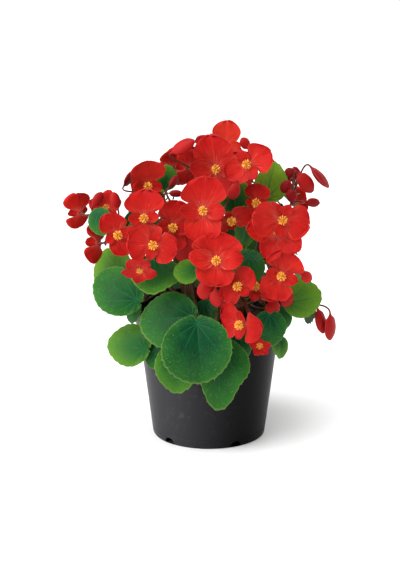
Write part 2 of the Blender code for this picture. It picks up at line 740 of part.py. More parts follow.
def back_to(start: Vector, way: Vector, root: Vector, steps: int) -> list:
    """A stalk's path from a flower or a bud, leaving it along way, back to its root."""
    far = (root - start).length
    lean = root + (start - root) * 0.3 + Vector((0, 0, 0.1 * far))
    return bend(start, start + way * min(0.35 * far, 11), lean, root, steps)


def male_bloom(bloom: Bloom, root: Vector) -> list:
    """A male flower and its pedicel, as one mesh."""
    turn = facing(bloom.az, bloom.el, bloom.roll)
    out = turn.col[2]
    path = back_to(Vector(bloom.at) - out * 4, -out, root, 2)
    radii = [PEDICEL_R] * len(path)
    return [stalked_blade("bloom", bloom.at, turn, male_skin(bloom), path, radii)]


def female_bloom(bloom: Bloom, root: Vector) -> list:
    """A female flower, and its pedicel that swells to the three-winged ovary."""
    turn = facing(bloom.az, bloom.el, bloom.roll)
    out = turn.col[2]
    at = Vector(bloom.at)
    points, faces = thick(female_skin(bloom))
    corolla = mesh_object("bloom", [at + turn @ point for point in points], faces)
    path = [at - out * 0.45, at - out * 2.2, at - out * 7.0]
    path += back_to(at - out * 10.5, -out, root, 2)
    radii = [1.1, (4.4, 1.5), (5.2, 1.5)] + [PEDICEL_R] * (len(path) - 3)
    return [corolla, closed_rings("ovary", rings_along(path, radii, turn.col[1], 6))]


def bud_on_stalk(bud: Bud, root: Vector) -> bpy.types.Object:
    """A flat bud, whose two tepals meet at its edges, and its pedicel, as one mesh."""
    turn = facing(bud.az, bud.el, bud.roll)
    side, tip, out = turn.col
    rings = []
    for height, wide, deep in BUD_OUTLINE:
        centre = Vector(bud.at) + tip * height * bud.size
        across, second = side * wide * bud.size, out * deep * bud.size
        rings.append([centre + across, centre + second, centre - across, centre - second])
    path = back_to(Vector(bud.at) - tip * 0.58 * bud.size, -tip, root, 3)
    rings += rings_along(path, [PEDICEL_R] * len(path), side, 4)
    return closed_rings("bud", rings)


def stamens_mesh() -> bpy.types.Mesh:
    """The ball of stamens on its short column: a core whose skin is raised into blunt points."""
    mesh = bmesh.new()
    bmesh.ops.create_icosphere(mesh, subdivisions=1, radius=STAMENS_R * MM)
    poked = bmesh.ops.poke(mesh, faces=mesh.faces)
    for point in poked["verts"]:
        point.co = point.co.normalized() * 0.66 * STAMENS_R * MM
    foot = min(mesh.verts, key=lambda point: point.co.z)
    foot.co.z = -(STAMENS_R + STAMENS_COLUMN) * MM
    made = bpy.data.meshes.new("stamens")
    mesh.to_mesh(made)
    mesh.free()
    made.materials.append(material(YELLOW))
    return made


def build_stamens(name: str, bloom: Bloom, mesh: bpy.types.Mesh) -> None:
    """The flower's stamens or stigmas, just clear of where its tepals meet."""
    made = bpy.data.objects.new(name, mesh)
    bpy.context.scene.collection.objects.link(made)
    turn = facing(bloom.az, bloom.el, bloom.roll)
    scale = 0.72 if bloom.female or bloom.opening > 30 else 1.0
    lift = GAP + scale * (STAMENS_R + STAMENS_COLUMN)
    place = Matrix.Translation(metres(bloom.at) + turn.col[2] * lift * MM)
    made.matrix_world = place @ (turn * scale).to_4x4()


def build_spray(spray: Spray, stems: dict, stamens: bpy.types.Mesh) -> None:
    """One spray, fused from its peduncle, flowers and buds, and its stamens."""
    at, tangent, radius = along_stem(stems[spray.stem], spray.grows_at)
    fork = Vector(spray.fork)
    away = fork - at
    away = (away - tangent * away.dot(tangent)).normalized()
    start = at + away * (radius + 2 * GAP)
    far = (fork - start).length
    path = bend(start, start + away * 0.35 * far, fork - Vector((0, 0, spray.rise * far)), fork, 4)
    pieces = [tube("peduncle", path, [PEDUNCLE_R] * len(path), 5)]
    carried = [*spray.blooms, *spray.buds]
    for index, piece in enumerate(carried):
        share = 4 * (1 - 0.6 * index / len(carried))
        step = min(int(share), 3)
        root = path[step].lerp(path[step + 1], share - step)
        if isinstance(piece, Bud):
            pieces.append(bud_on_stalk(piece, root))
        elif piece.female:
            pieces += female_bloom(piece, root)
        else:
            pieces += male_bloom(piece, root)
    fused("spray_" + spray.name, pieces, RED)
    for index, bloom in enumerate(spray.blooms):
        build_stamens(f"stamens_{spray.name}_{index + 1}", bloom, stamens)


def main() -> None:
    """Clears the scene and builds every piece."""
    for old in list(bpy.data.objects):
        bpy.data.objects.remove(old)
    build_pot()
    build_soil()
    for stem in STEMS:
        build_stem(stem)
    stamens = stamens_mesh()
    stems = {stem.name: stem for stem in STEMS}
    for spray in SPRAYS:
        build_spray(spray, stems, stamens)


if __name__ == "__main__":
    main()
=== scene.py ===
"""Dresses a potted wax begonia: its pot, its peat, its leafy stems and its flower sprays.

The layout tables are in millimetres and degrees. az 0 faces -Y and az 90 faces +X, el is above
the horizon, and roll turns counterclockwise as seen by someone who faces the leaf or flower.
Each finished mesh is in metres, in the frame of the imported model.
"""

import logging
import math
from dataclasses import dataclass
from enum import Enum
from functools import lru_cache

import bpy
import numpy as np
from mathutils import Matrix, Vector, noise


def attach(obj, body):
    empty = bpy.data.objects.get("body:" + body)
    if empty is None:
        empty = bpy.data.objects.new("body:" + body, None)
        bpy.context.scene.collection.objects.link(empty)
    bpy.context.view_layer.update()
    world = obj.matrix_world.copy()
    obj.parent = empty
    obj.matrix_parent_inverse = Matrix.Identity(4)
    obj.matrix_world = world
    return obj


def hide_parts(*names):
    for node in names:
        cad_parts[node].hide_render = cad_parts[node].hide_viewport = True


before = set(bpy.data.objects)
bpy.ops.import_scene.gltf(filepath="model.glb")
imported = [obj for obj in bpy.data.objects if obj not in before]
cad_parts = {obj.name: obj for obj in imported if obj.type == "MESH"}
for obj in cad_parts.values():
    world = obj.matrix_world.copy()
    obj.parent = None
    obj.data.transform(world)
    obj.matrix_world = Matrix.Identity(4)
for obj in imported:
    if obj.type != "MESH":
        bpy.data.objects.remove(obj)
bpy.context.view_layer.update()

LOG = logging.getLogger("begonia")
MM = 0.001
BODY = "root"
TURN = 2 * math.pi
GOLDEN_TURN = math.pi * (3 - math.sqrt(5))
WHITE = (1.0, 1.0, 1.0, 1.0)
CHART = "pattern"
TAGS = ("tone", "rim", "under", "size")


class Slot(Enum):
    """The material slots."""

    POT = "black_plastic"
    SOIL = "potting_soil"
    LEAF = "leaf_green"
    TEPAL = "petal_red"
    STAMEN = "stamen_yellow"


class Axis(Enum):
    """Whether the columns of a grid of points close to a ring."""

    OPEN = 0
    CLOSED = 1


# ------------------------------ node graphs


class Wire:
    """A node's output. Python's operators on it add Math nodes."""

    def __init__(self, graph: "Graph", socket: bpy.types.NodeSocket) -> None:
        """Wraps one output socket of the graph."""
        self.graph = graph
        self.socket = socket

    def math(self, operation: str, *others: "Wire | float") -> "Wire":
        """A Math node whose first value is this wire."""
        return self.graph.node("ShaderNodeMath", (self, *others), operation=operation)

    def flipped(self, operation: str, other: "Wire | float") -> "Wire":
        """A Math node whose second value is this wire."""
        return self.graph.node("ShaderNodeMath", (other, self), operation=operation)

    def __add__(self, other: "Wire | float") -> "Wire":
        """The sum."""
        return self.math("ADD", other)

    def __radd__(self, other: float) -> "Wire":
        """The sum, with the number first."""
        return self.flipped("ADD", other)

    def __sub__(self, other: "Wire | float") -> "Wire":
        """The difference."""
        return self.math("SUBTRACT", other)

    def __rsub__(self, other: float) -> "Wire":
        """The difference, with the number first."""
        return self.flipped("SUBTRACT", other)

    def __mul__(self, other: "Wire | float") -> "Wire":
        """The product."""
        return self.math("MULTIPLY", other)

    def __rmul__(self, other: float) -> "Wire":
        """The product, with the number first."""
        return self.flipped("MULTIPLY", other)

    def __truediv__(self, other: "Wire | float") -> "Wire":
        """The quotient."""
        return self.math("DIVIDE", other)

    def __rtruediv__(self, other: float) -> "Wire":
        """The quotient, with the number first."""
        return self.flipped("DIVIDE", other)

    def __pow__(self, other: "Wire | float") -> "Wire":
        """The power."""
        return self.math("POWER", other)

    def __rpow__(self, other: float) -> "Wire":
        """The power, with the number as its base."""
        return self.flipped("POWER", other)

    def span(self, low: float, high: float) -> "Wire":
        """0 up to low, 1 from high on, and even between; high may be the smaller number."""
        limits = {"Value": self, "From Min": low, "From Max": high}
        return self.graph.node("ShaderNodeMapRange", limits, clamp=True)


class Graph:
    """Adds nodes to a shader tree or a geometry tree."""

    def __init__(self, tree: bpy.types.NodeTree) -> None:
        """Works on that tree."""
        self.tree = tree

    def node(self, kind: str, inputs: tuple | dict = (), out: int | str = 0,
             **settings: object) -> Wire | None:
        """Adds one node.

        Args:
            kind: the node's type.
            inputs: values or wires, in order or by socket name. None leaves a socket alone, and
                a list goes to a socket that takes several wires.
            out: which output to return.
            settings: the node's own settings, set first.

        Returns:
            The chosen output, or nothing for a node that ends its tree.
        """
        made = self.tree.nodes.new(kind)
        for name, value in settings.items():
            setattr(made, name, value)
        pairs = inputs.items() if isinstance(inputs, dict) else enumerate(inputs)
        for key, value in pairs:
            for single in value if isinstance(value, list) else [value]:
                self.feed(self.socket(made.inputs, key), single)
        return Wire(self, self.socket(made.outputs, out)) if len(made.outputs) else None

    def feed(self, socket: bpy.types.NodeSocket, value: object) -> None:
        """Gives an input socket its wire or its value.

        Args:
            socket: the input socket.
            value: a wire to link, a value to set, or None to leave the socket alone.
        """
        if isinstance(value, Wire):
            self.tree.links.new(value.socket, socket)
        elif value is not None:
            socket.default_value = value

    @staticmethod
    def socket(sockets: bpy.types.bpy_prop_collection, key: int | str) -> bpy.types.NodeSocket:
        """Finds a socket.

        Args:
            sockets: a node's inputs or outputs.
            key: the socket's number, identifier or name.

        Returns:
            The socket.
        """
        if isinstance(key, int):
            return sockets[key]
        for socket in sockets:
            if socket.identifier == key:
                return socket
        return next(socket for socket in sockets if socket.name == key and socket.enabled)

    def mix(self, factor: Wire | float, first: Wire | tuple, second: Wire | tuple) -> Wire:
        """Mixes two colours.

        Args:
            factor: 0 for the first colour, 1 for the second.
            first: a colour, or a wire that carries one.
            second: the other colour.

        Returns:
            The mixed colour.
        """
        ends = {
            key: value if isinstance(value, Wire) else (*value, 1.0)
            for key, value in (("A_Color", first), ("B_Color", second))}
        return self.node(
            "ShaderNodeMix", {"Factor_Float": factor, **ends}, "Result_Color",
            data_type="RGBA", clamp_factor=True)

    def point(self, x: Wire | float, y: Wire | float, z: Wire | float = 0.0) -> Wire:
        """A vector of three numbers."""
        return self.node("ShaderNodeCombineXYZ", (x, y, z))

    def place(self) -> Wire:
        """The point in the piece's own frame."""
        return self.node("ShaderNodeTexCoord", out="Object")

    def tag(self, name: str) -> Wire:
        """A number that the mesh keeps at its points."""
        return self.node("ShaderNodeAttribute", out="Fac", attribute_name=name)

    def chart(self) -> tuple[Wire, Wire]:
        """The two pattern coordinates that the mesh keeps."""
        across = self.node("ShaderNodeSeparateXYZ", (self.node("ShaderNodeUVMap", uv_map=CHART),))
        return across, Wire(self, across.socket.node.outputs[1])

    def grain(self, where: Wire, scale: float, detail: float = 2.0) -> Wire:
        """Soft noise, from 0 to 1."""
        return self.node("ShaderNodeTexNoise", {"Vector": where, "Scale": scale, "Detail": detail})

    def cells(self, where: Wire, scale: float, feature: str = "F1") -> Wire:
        """The distance from the middles or edges of a field of cells."""
        return self.node("ShaderNodeTexVoronoi", {"Vector": where, "Scale": scale}, feature=feature)

    def relief(self, height: Wire, depth: float) -> Wire:
        """A bump of that depth in metres."""
        return self.node("ShaderNodeBump", {"Height": height, "Distance": depth, "Strength": 1.0})


# ------------------------------ finishes


@lru_cache(maxsize=None)
def dressed(finish: "Finish") -> bpy.types.Material:
    """Makes the material of a finish, once.

    Args:
        finish: the finish.

    Returns:
        Its material.
    """
    made = bpy.data.materials.new(finish.name)
    made.use_nodes = True
    made.node_tree.nodes.clear()
    graph = Graph(made.node_tree)
    shader = graph.node("ShaderNodeBsdfPrincipled", finish.sockets(graph), "BSDF")
    graph.node("ShaderNodeOutputMaterial", {"Surface": shader})
    return made


class Finish:
    """What every finish has: a name, and the sockets of its Principled shader."""

    name = "plain"

    def sockets(self, graph: Graph) -> dict[str, object]:
        """The shader's socket values and wires."""
        raise NotImplementedError


@dataclass(frozen=True)
class PotPlastic(Finish):
    """Satin black moulded plastic, a little scuffed."""

    name: str = "pot_satin_plastic"
    base: tuple = (0.0032, 0.0032, 0.0036)
    scuff: tuple = (0.016, 0.015, 0.015)
    scuff_share: float = 0.3
    roughness: float = 0.34
    grain_depth: float = 0.00003
    gloss: float = 0.050

    def sockets(self, graph: Graph) -> dict[str, object]:
        """Faint scuffs in colour and gloss, and a fine moulded grain.

        Args:
            graph: the material's graph.

        Returns:
            The shader's values and wires.
        """
        where = graph.place()
        patch = graph.grain(where, 26.0, 4.0)
        scuffs = graph.grain(where, 190.0, 3.0).span(0.56, 0.74) * patch.span(0.42, 0.62)
        leather = graph.grain(where, 1500.0)
        return {
            "Base Color": graph.mix(scuffs * self.scuff_share, self.base, self.scuff),
            "Roughness": self.roughness + patch * 0.07 + scuffs * 0.05,
            "Normal": graph.relief(leather, self.grain_depth),
            "Specular IOR Level": self.gloss,
        }


@dataclass(frozen=True)
class Peat(Finish):
    """Moist dark peat."""

    name: str = "peat"
    dark: tuple = (0.012, 0.008, 0.006)
    light: tuple = (0.060, 0.038, 0.024)
    roughness: float = 0.80
    crumb_depth: float = 0.0006

    def sockets(self, graph: Graph) -> dict[str, object]:
        """Mottled brown with a crumbly relief.

        Args:
            graph: the material's graph.

        Returns:
            The shader's values and wires.
        """
        where = graph.place()
        fine = graph.grain(where, 900.0, 4.0)
        mottle = (fine * 0.6 + graph.grain(where, 130.0, 3.0) * 0.4).span(0.36, 0.66)
        return {
            "Base Color": graph.mix(mottle, self.dark, self.light),
            "Roughness": self.roughness + fine * 0.18,
            "Normal": graph.relief(fine, self.crumb_depth),
        }


@dataclass(frozen=True)
class LeafBlade(Finish):
    """Waxy leaf: radiating veins, a pale rim, small glossy cells and fine pale painted highlights
    near the rim.

    Each scale is for one millimetre of the blade, and each share is how much a colour covers.
    """

    name: str = "leaf_blade"
    deep: tuple = (0.0012, 0.024, 0.011)
    mid: tuple = (0.0022, 0.050, 0.013)
    fresh: tuple = (0.030, 0.140, 0.008)
    lime: tuple = (0.190, 0.310, 0.016)
    vein: tuple = (0.010, 0.115, 0.036)
    rim: tuple = (0.120, 0.230, 0.040)
    tooth: tuple = (0.170, 0.235, 0.060)
    below: tuple = (0.028, 0.090, 0.018)
    # The pale dots near the rim paint small highlights on the wax.
    painted_glint: tuple = (0.420, 0.560, 0.360)
    vein_step: float = 0.60
    vein_fan: float = 0.12
    rib_gap: float = 6.5
    cloud_scale: float = 0.075
    net_scale: float = 0.62
    bead_scale: float = 1.9
    painted_glint_scale: float = 0.92
    patch_scale: float = 0.30
    stipple_scale: float = 1.35
    net_share: float = 0.10
    stipple_share: float = 0.28
    rim_share: float = 0.45
    tooth_share: float = 0.50
    painted_glint_share: float = 0.44
    below_share: float = 0.80
    roughness: float = 0.36
    cell_depth: float = 0.00022
    gloss: float = 0.05
    coat: float = 0.05
    coat_roughness: float = 0.14
    sheen: float = 0.06
    sheen_roughness: float = 0.35
    sheen_tint: tuple = (0.05, 0.50, 0.36, 1.0)

    def veins(self, x: Wire, y: Wire, rim: Wire) -> Wire:
        """Main veins that fan out from the petiole, with faint ribs between them.

        Args:
            x: millimetres across the blade from the petiole.
            y: millimetres along the blade from the petiole.
            rim: 0 at the petiole to 1 at the rim.

        Returns:
            1 on a vein, 0 beside it.
        """
        far = (x * x + y * y) ** 0.5
        turns = x.math("ARCTAN2", y) * (1 + self.vein_fan * rim) / self.vein_step
        off = (turns - turns.math("ROUND")).math("ABSOLUTE") * far * self.vein_step
        fading = 1.15 - rim
        main = off.span(0.85, 0.10) * fading.span(0.1, 0.9)
        wave = ((far - off * 1.5) / self.rib_gap).math("FRACT") - 0.5
        ribs = wave.math("ABSOLUTE").span(0.10, 0.0) * rim.span(0.10, 0.45)
        return main.math("MAXIMUM", ribs * 0.45 * fading.span(0.1, 0.7))

    def sockets(self, graph: Graph) -> dict[str, object]:
        """Colour, gloss and relief from the blade's chart, whose unit is the leaf's length.

        Args:
            graph: the material's graph.

        Returns:
            The shader's values and wires.
        """
        u, v = graph.chart()
        size = graph.tag("size")
        rim, tone, under = graph.tag("rim"), graph.tag("tone"), graph.tag("under")
        x, y = (u - 0.5) * size, (v - 0.5) * size
        flat = graph.point(x, y)
        veins = self.veins(x, y, rim)
        net = graph.cells(flat, self.net_scale, "DISTANCE_TO_EDGE").span(0.0, 0.16)
        beads = graph.cells(flat, self.bead_scale).span(0.55, 0.0)
        cloud = graph.grain(flat, self.cloud_scale)
        # Painted highlights: pale dots, sparse in patches and more of them towards the rim.
        patch = graph.grain(flat, self.patch_scale, 1.0).span(0.44, 0.58)
        painted_glints = graph.cells(flat, self.painted_glint_scale).span(0.25, 0.12) * patch * rim.span(0.30, 0.95)
        stipple = graph.grain(flat, self.stipple_scale, 1.0).span(0.48, 0.70)
        freshness = (rim ** 2.2 * 0.75 + tone * 1.1 - 0.25 + cloud * 0.25) * 0.85
        limeness = ((tone - 0.45) * 1.05 + (rim ** 2.0 - 0.4) * 0.35) * tone.span(0.25, 0.45)
        colour = graph.mix(cloud.span(0.30, 0.70), self.deep, self.mid)
        for share, layer in (
                (freshness, self.fresh),
                (limeness, self.lime),
                (veins * (0.55 + tone * 0.4), self.vein),
                (net.span(1.0, 0.0) * self.net_share, self.vein),
                (stipple * self.stipple_share, self.vein),
                (rim.span(0.968, 0.990) * self.rim_share, self.rim),
                (rim.span(0.988, 1.0) * self.tooth_share, self.tooth),
                (painted_glints * self.painted_glint_share, self.painted_glint),
                (under * self.below_share, self.below)):
            colour = graph.mix(share, colour, layer)
        height = net * 0.25 + beads * 0.30 - veins * 0.9
        return {
            "Base Color": colour,
            "Roughness": self.roughness + cloud * 0.10 + veins * 0.10 + under * 0.15,
            "Normal": graph.relief(height, self.cell_depth),
            "Specular IOR Level": self.gloss,
            "Coat Weight": self.coat,
            "Coat Roughness": self.coat_roughness,
            "Sheen Weight": self.sheen,
            "Sheen Roughness": self.sheen_roughness,
            "Sheen Tint": self.sheen_tint,
        }


@dataclass(frozen=True)
class TepalSkin(Finish):
    """Tepal: fine fanned streaks, a painted highlight towards the middle, painted glints, a painted
    highlight along the rim and a soft sheen.
    """

    name: str = "tepal_skin"
    # deep: the darker red where lit is low; it mottles at random, and it paints shade on flowers
    # with a low tone.
    deep: tuple = (0.26, 0.0018, 0.0026)
    base: tuple = (0.42, 0.0046, 0.0040)
    # bright: a painted highlight towards the middle and on flowers with a high tone.
    bright: tuple = (0.60, 0.034, 0.018)
    # pale: the colour of the threads near the base and of the painted glints.
    pale: tuple = (0.85, 0.34, 0.29)
    # edge: a painted highlight along the rim.
    edge: tuple = (0.60, 0.045, 0.036)
    spokes: float = 74.0
    # near_share: how strong the painted highlight towards the middle is.
    near_share: float = 0.62
    thread_share: float = 0.6
    # glint_share: how strong the painted glints are.
    glint_share: float = 0.8
    roughness: float = 0.44
    streak_depth: float = 0.00009
    gloss: float = 0.09
    sheen: float = 0.02
    sheen_roughness: float = 0.4
    sheen_tint: tuple = (1.0, 0.55, 0.5, 1.0)

    def sockets(self, graph: Graph) -> dict[str, object]:
        """Colour, gloss and relief from the chart: u turns about the base, v runs along.

        Args:
            graph: the material's graph.

        Returns:
            The shader's values and wires.
        """
        u, v = graph.chart()
        tone, rim = graph.tag("tone"), graph.tag("rim")
        fan = graph.point(u * self.spokes, v * 1.6, tone * 9.0)
        streak = graph.grain(fan, 1.0, 3.0)
        thread = graph.grain(fan, 2.6, 1.0)
        cloud = graph.grain(graph.point(u * 5.0, v * 2.0, tone * 5.0), 1.0)
        ray = streak.span(0.36, 0.66)
        # lit: streaks and mottling, raised by the flower's tone, which paints light on high-toned
        # flowers and shade on low-toned ones.
        lit = (ray * 0.30 + cloud * 0.70) * (0.45 + tone * 0.5)
        # near: the painted highlight towards the middle.
        near = v.span(0.72, 0.05) * (0.30 + ray * 0.70) * self.near_share
        # glints: painted highlights, small pale dots towards the middle.
        glints = graph.cells(fan, 0.8).span(0.24, 0.10) * v.span(0.62, 0.20)
        colour = graph.mix(lit.span(0.14, 0.54), self.deep, self.base)
        # Layers: bright is the painted highlight, pale the threads and the painted glints, edge the
        # painted rim highlight.
        for share, layer in (
                (near + (tone - 0.35) * lit * 0.8, self.bright),
                (v.span(0.34, 0.04) * thread.span(0.48, 0.66) * self.thread_share, self.pale),
                (glints * cloud.span(0.44, 0.60) * self.glint_share, self.pale),
                (rim.span(0.92, 1.0) * (0.25 + cloud * 0.3), self.edge)):
            colour = graph.mix(share, colour, layer)
        return {
            "Base Color": colour,
            "Roughness": self.roughness + streak * 0.14,
            "Normal": graph.relief(streak * 0.5 + thread * 0.5, self.streak_depth),
            "Specular IOR Level": self.gloss,
            "Sheen Weight": self.sheen,
            "Sheen Roughness": self.sheen_roughness,
            "Sheen Tint": self.sheen_tint,
        }


@dataclass(frozen=True)
class BudSkin(Finish):
    """Closed bud and ovary: darker crimson, waxy, with lengthwise streaks."""

    name: str = "bud_skin"
    deep: tuple = (0.10, 0.0015, 0.003)
    base: tuple = (0.30, 0.0045, 0.006)
    bright: tuple = (0.50, 0.012, 0.009)
    # glint: a painted highlight along the bud's seam and the ovary's wings.
    glint: tuple = (0.60, 0.11, 0.10)
    glint_share: float = 0.45
    roughness: float = 0.34
    streak_depth: float = 0.00015
    gloss: float = 0.12

    def sockets(self, graph: Graph) -> dict[str, object]:
        """Streaks along the bud, with a painted highlight along its edge.

        Args:
            graph: the material's graph.

        Returns:
            The shader's values and wires.
        """
        u, v = graph.chart()
        streak = graph.grain(graph.point(u * graph.tag("size") * 1.2, v * 1.5), 2.2, 3.0)
        # edge: the mask of the painted highlight.
        edge = graph.tag("rim").span(0.80, 1.0)
        colour = graph.mix(streak.span(0.35, 0.68), self.deep, self.base)
        colour = graph.mix(graph.tag("tone") * (0.45 + streak * 0.8), colour, self.bright)
        return {
            "Base Color": graph.mix(edge * self.glint_share, colour, self.glint),
            "Roughness": self.roughness + streak * 0.15,
            "Normal": graph.relief(streak, self.streak_depth),
            "Specular IOR Level": self.gloss,
        }


@dataclass(frozen=True)
class StalkSkin(Finish):
    """Succulent stalk between green and red, after the tag tone."""

    name: str = "stalk_skin"
    green: tuple = (0.034, 0.058, 0.010)
    red: tuple = (0.130, 0.016, 0.012)
    node: tuple = (0.040, 0.016, 0.010)
    node_share: float = 0.6
    fibre_share: float = 0.35
    roughness: float = 0.34
    fibre_depth: float = 0.00012
    gloss: float = 0.16

    def sockets(self, graph: Graph) -> dict[str, object]:
        """Fine lengthwise fibres under a waxy skin.

        Args:
            graph: the material's graph.

        Returns:
            The shader's values and wires.
        """
        u, v = graph.chart()
        fibre = graph.grain(graph.point(u * 9.0, v * 0.8), 1.0, 3.0)
        cloud = graph.grain(graph.place(), 60.0, 3.0)
        redness = (graph.tag("tone") + (cloud - 0.5) * 0.7).span(0.05, 0.95)
        colour = graph.mix(redness, self.green, self.red)
        colour = graph.mix(graph.tag("rim") * self.node_share, colour, self.node)
        return {
            "Base Color": graph.mix(fibre.span(0.45, 0.8) * self.fibre_share, colour, self.green),
            "Roughness": self.roughness + fibre * 0.12,
            "Normal": graph.relief(fibre, self.fibre_depth),
            "Specular IOR Level": self.gloss,
        }


@dataclass(frozen=True)
class Pollen(Finish):
    """Anthers dusted with pollen: golden, with amber shade."""

    name: str = "pollen"
    gold: tuple = (0.96, 0.52, 0.052)
    amber: tuple = (0.64, 0.20, 0.016)
    roughness: float = 0.66
    dust_depth: float = 0.00008

    def sockets(self, graph: Graph) -> dict[str, object]:
        """Powdery mottling; the tag tone makes some anthers darker.

        Args:
            graph: the material's graph.

        Returns:
            The shader's values and wires.
        """
        dust = graph.grain(graph.place(), 2600.0)
        shade = (graph.tag("tone") * 0.7 + dust * 0.5).span(0.2, 1.0)
        return {
            "Base Color": graph.mix(shade, self.gold, self.amber),
            "Roughness": self.roughness + dust * 0.2,
            "Normal": graph.relief(dust, self.dust_depth),
        }


@dataclass(frozen=True)
class Down(Finish):
    """The short pale hairs of a leaf's edge."""

    name: str = "leaf_down"
    straw: tuple = (0.52, 0.50, 0.30)
    warm: tuple = (0.38, 0.30, 0.12)
    roughness: float = 0.5

    def sockets(self, graph: Graph) -> dict[str, object]:
        """Pale straw that warms from hair to hair."""
        shade = graph.grain(graph.place(), 200.0, 1.0)
        return {"Base Color": graph.mix(shade, self.straw, self.warm), "Roughness": self.roughness}


@dataclass(frozen=True)
class StudioFloor(Finish):
    """The studio's white sweep."""

    name: str = "studio_floor"
    white: tuple = (0.97, 0.97, 0.97, 1.0)
    roughness: float = 0.9

    def sockets(self, graph: Graph) -> dict[str, object]:
        """Even white, without gloss."""
        return {"Base Color": self.white, "Roughness": self.roughness, "Specular IOR Level": 0.0}


# ------------------------------ grids of points


def vary(seed: float, turn: int) -> float:
    """Makes a fixed number for a seed and a turn, so that no two parts grow alike.

    Args:
        seed: what tells one part from another.
        turn: what tells one use from another.

    Returns:
        A number from -1 to 1.
    """
    value = math.sin(seed * 12.9898 + turn * 78.233) * 43758.5453
    return 2.0 * (value - math.floor(value)) - 1.0


def bell(value: np.ndarray, middle: float, width: float) -> np.ndarray:
    """1 at the middle, falling smoothly to 0 over about twice the width."""
    return np.exp(-(((value - middle) / width) ** 2))


def compass(az: float, el: float) -> Vector:
    """The way that az and el point to, in degrees."""
    a, e = math.radians(az), math.radians(el)
    return Vector((math.sin(a) * math.cos(e), -math.cos(a) * math.cos(e), math.sin(e)))


def square_to(way: Vector, tangent: Vector) -> Vector:
    """The part of a way that is square to a tangent, as a unit vector."""
    return (way - tangent * way.dot(tangent)).normalized()


def placed(points: np.ndarray, at: tuple, turn: Matrix) -> np.ndarray:
    """Points of a part's own frame, in the plant's."""
    return points @ np.array(turn).T + np.array(at)


def circle(count: int) -> tuple[np.ndarray, np.ndarray]:
    """Evenly spaced angles, and the points of the unit circle at them."""
    angle = np.arange(count) * TURN / count
    return angle, np.stack([np.cos(angle), np.sin(angle)], axis=-1)


def grid_faces(rows: int, columns: int, axis: Axis, first: int = 0) -> np.ndarray:
    """Joins the rows of a grid, whose columns turn counterclockwise.

    Args:
        rows: how many rows the grid has.
        columns: how many points each row has.
        axis: whether the columns close to a ring.
        first: the number of the grid's first point.

    Returns:
        One row of four point numbers for each face.
    """
    steps = columns if axis is Axis.CLOSED else columns - 1
    row, column = np.meshgrid(np.arange(rows - 1), np.arange(steps), indexing="ij")
    here = row * columns + column
    there = row * columns + (column + 1) % columns
    return first + np.stack([here, here + columns, there + columns, there], axis=-1).reshape(-1, 4)


def grid_normals(grid: np.ndarray, axis: Axis) -> np.ndarray:
    """Works out the normals of a grid of points.

    Args:
        grid: rows of points.
        axis: whether the columns close to a ring.

    Returns:
        A unit normal for each point.
    """
    wide = grid
    if axis is Axis.CLOSED:
        wide = np.concatenate([grid[:, -1:], grid, grid[:, :1]], axis=1)
    normal = np.cross(np.gradient(wide, axis=0), np.gradient(wide, axis=1))
    if axis is Axis.CLOSED:
        normal = normal[:, 1:-1]
    return normal / np.maximum(np.linalg.norm(normal, axis=-1, keepdims=True), 1e-9)


def fan(apex: int, ring: np.ndarray, ahead: np.ndarray) -> np.ndarray:
    """Triangles from an apex to each side of a ring, each with its last point given twice."""
    return np.stack([np.full(len(ring), apex), ring, ahead, ahead], axis=-1)


def edge_loop(rows: int, columns: int, axis: Axis) -> np.ndarray:
    """Numbers the points round the free edge of a grid.

    Args:
        rows: how many rows the grid has.
        columns: how many points each row has.
        axis: whether the columns close to a ring, which leaves only the last row free.

    Returns:
        The point numbers in order.
    """
    last = (rows - 1) * columns
    if axis is Axis.CLOSED:
        return last + np.arange(columns)
    return np.concatenate([
        np.arange(rows - 1) * columns, last + np.arange(columns - 1),
        np.arange(rows - 1, 0, -1) * columns + columns - 1, np.arange(columns - 1, 0, -1)])


def smooth(points: list[Vector], spans: int) -> list[Vector]:
    """Runs a Catmull-Rom curve through points.

    Args:
        points: what the curve passes through.
        spans: how many steps each stretch gets.

    Returns:
        The points of the curve.
    """
    ends = [2 * points[0] - points[1], *points, 2 * points[-1] - points[-2]]
    found = []
    for p0, p1, p2, p3 in zip(ends, ends[1:], ends[2:], ends[3:]):
        for step in range(spans):
            t = step / spans
            found.append(
                0.5 * (2 * p1 + (p2 - p0) * t + (2 * p0 - 5 * p1 + 4 * p2 - p3) * t * t
                       + (3 * p1 - p0 - 3 * p2 + p3) * t ** 3))
    return [*found, points[-1]]


def bend(start: Vector, lean: Vector, arrive: Vector, end: Vector, steps: int) -> list[Vector]:
    """Runs a Bezier curve between two points.

    Args:
        start: the first point.
        lean: what the curve leaves the start towards.
        arrive: what the curve comes to the end from.
        end: the last point.
        steps: how many steps the curve gets.

    Returns:
        The points of the curve.
    """
    found = []
    for step in range(steps + 1):
        t = step / steps
        found.append(start * (1 - t) ** 3 + lean * 3 * t * (1 - t) ** 2
                     + arrive * 3 * t * t * (1 - t) + end * t ** 3)
    return found


def rings_along(path: list[Vector], outlines: np.ndarray, across: Vector) -> np.ndarray:
    """Sets rings of points round a path, turned as little as the path allows.

    Args:
        path: the centreline.
        outlines: for each path point, rows of a distance across and one the other way.
        across: what the first ring's outline is measured along.

    Returns:
        A grid of points, one row for each path point.
    """
    rings = []
    for index, (centre, outline) in enumerate(zip(path, outlines)):
        tangent = (path[min(index + 1, len(path) - 1)] - path[max(index - 1, 0)]).normalized()
        across = square_to(across, tangent)
        second = np.array(tangent.cross(across))
        rings.append(np.array(centre) + outline @ np.stack([np.array(across), second]))
    return np.array(rings)


# ------------------------------ meshes


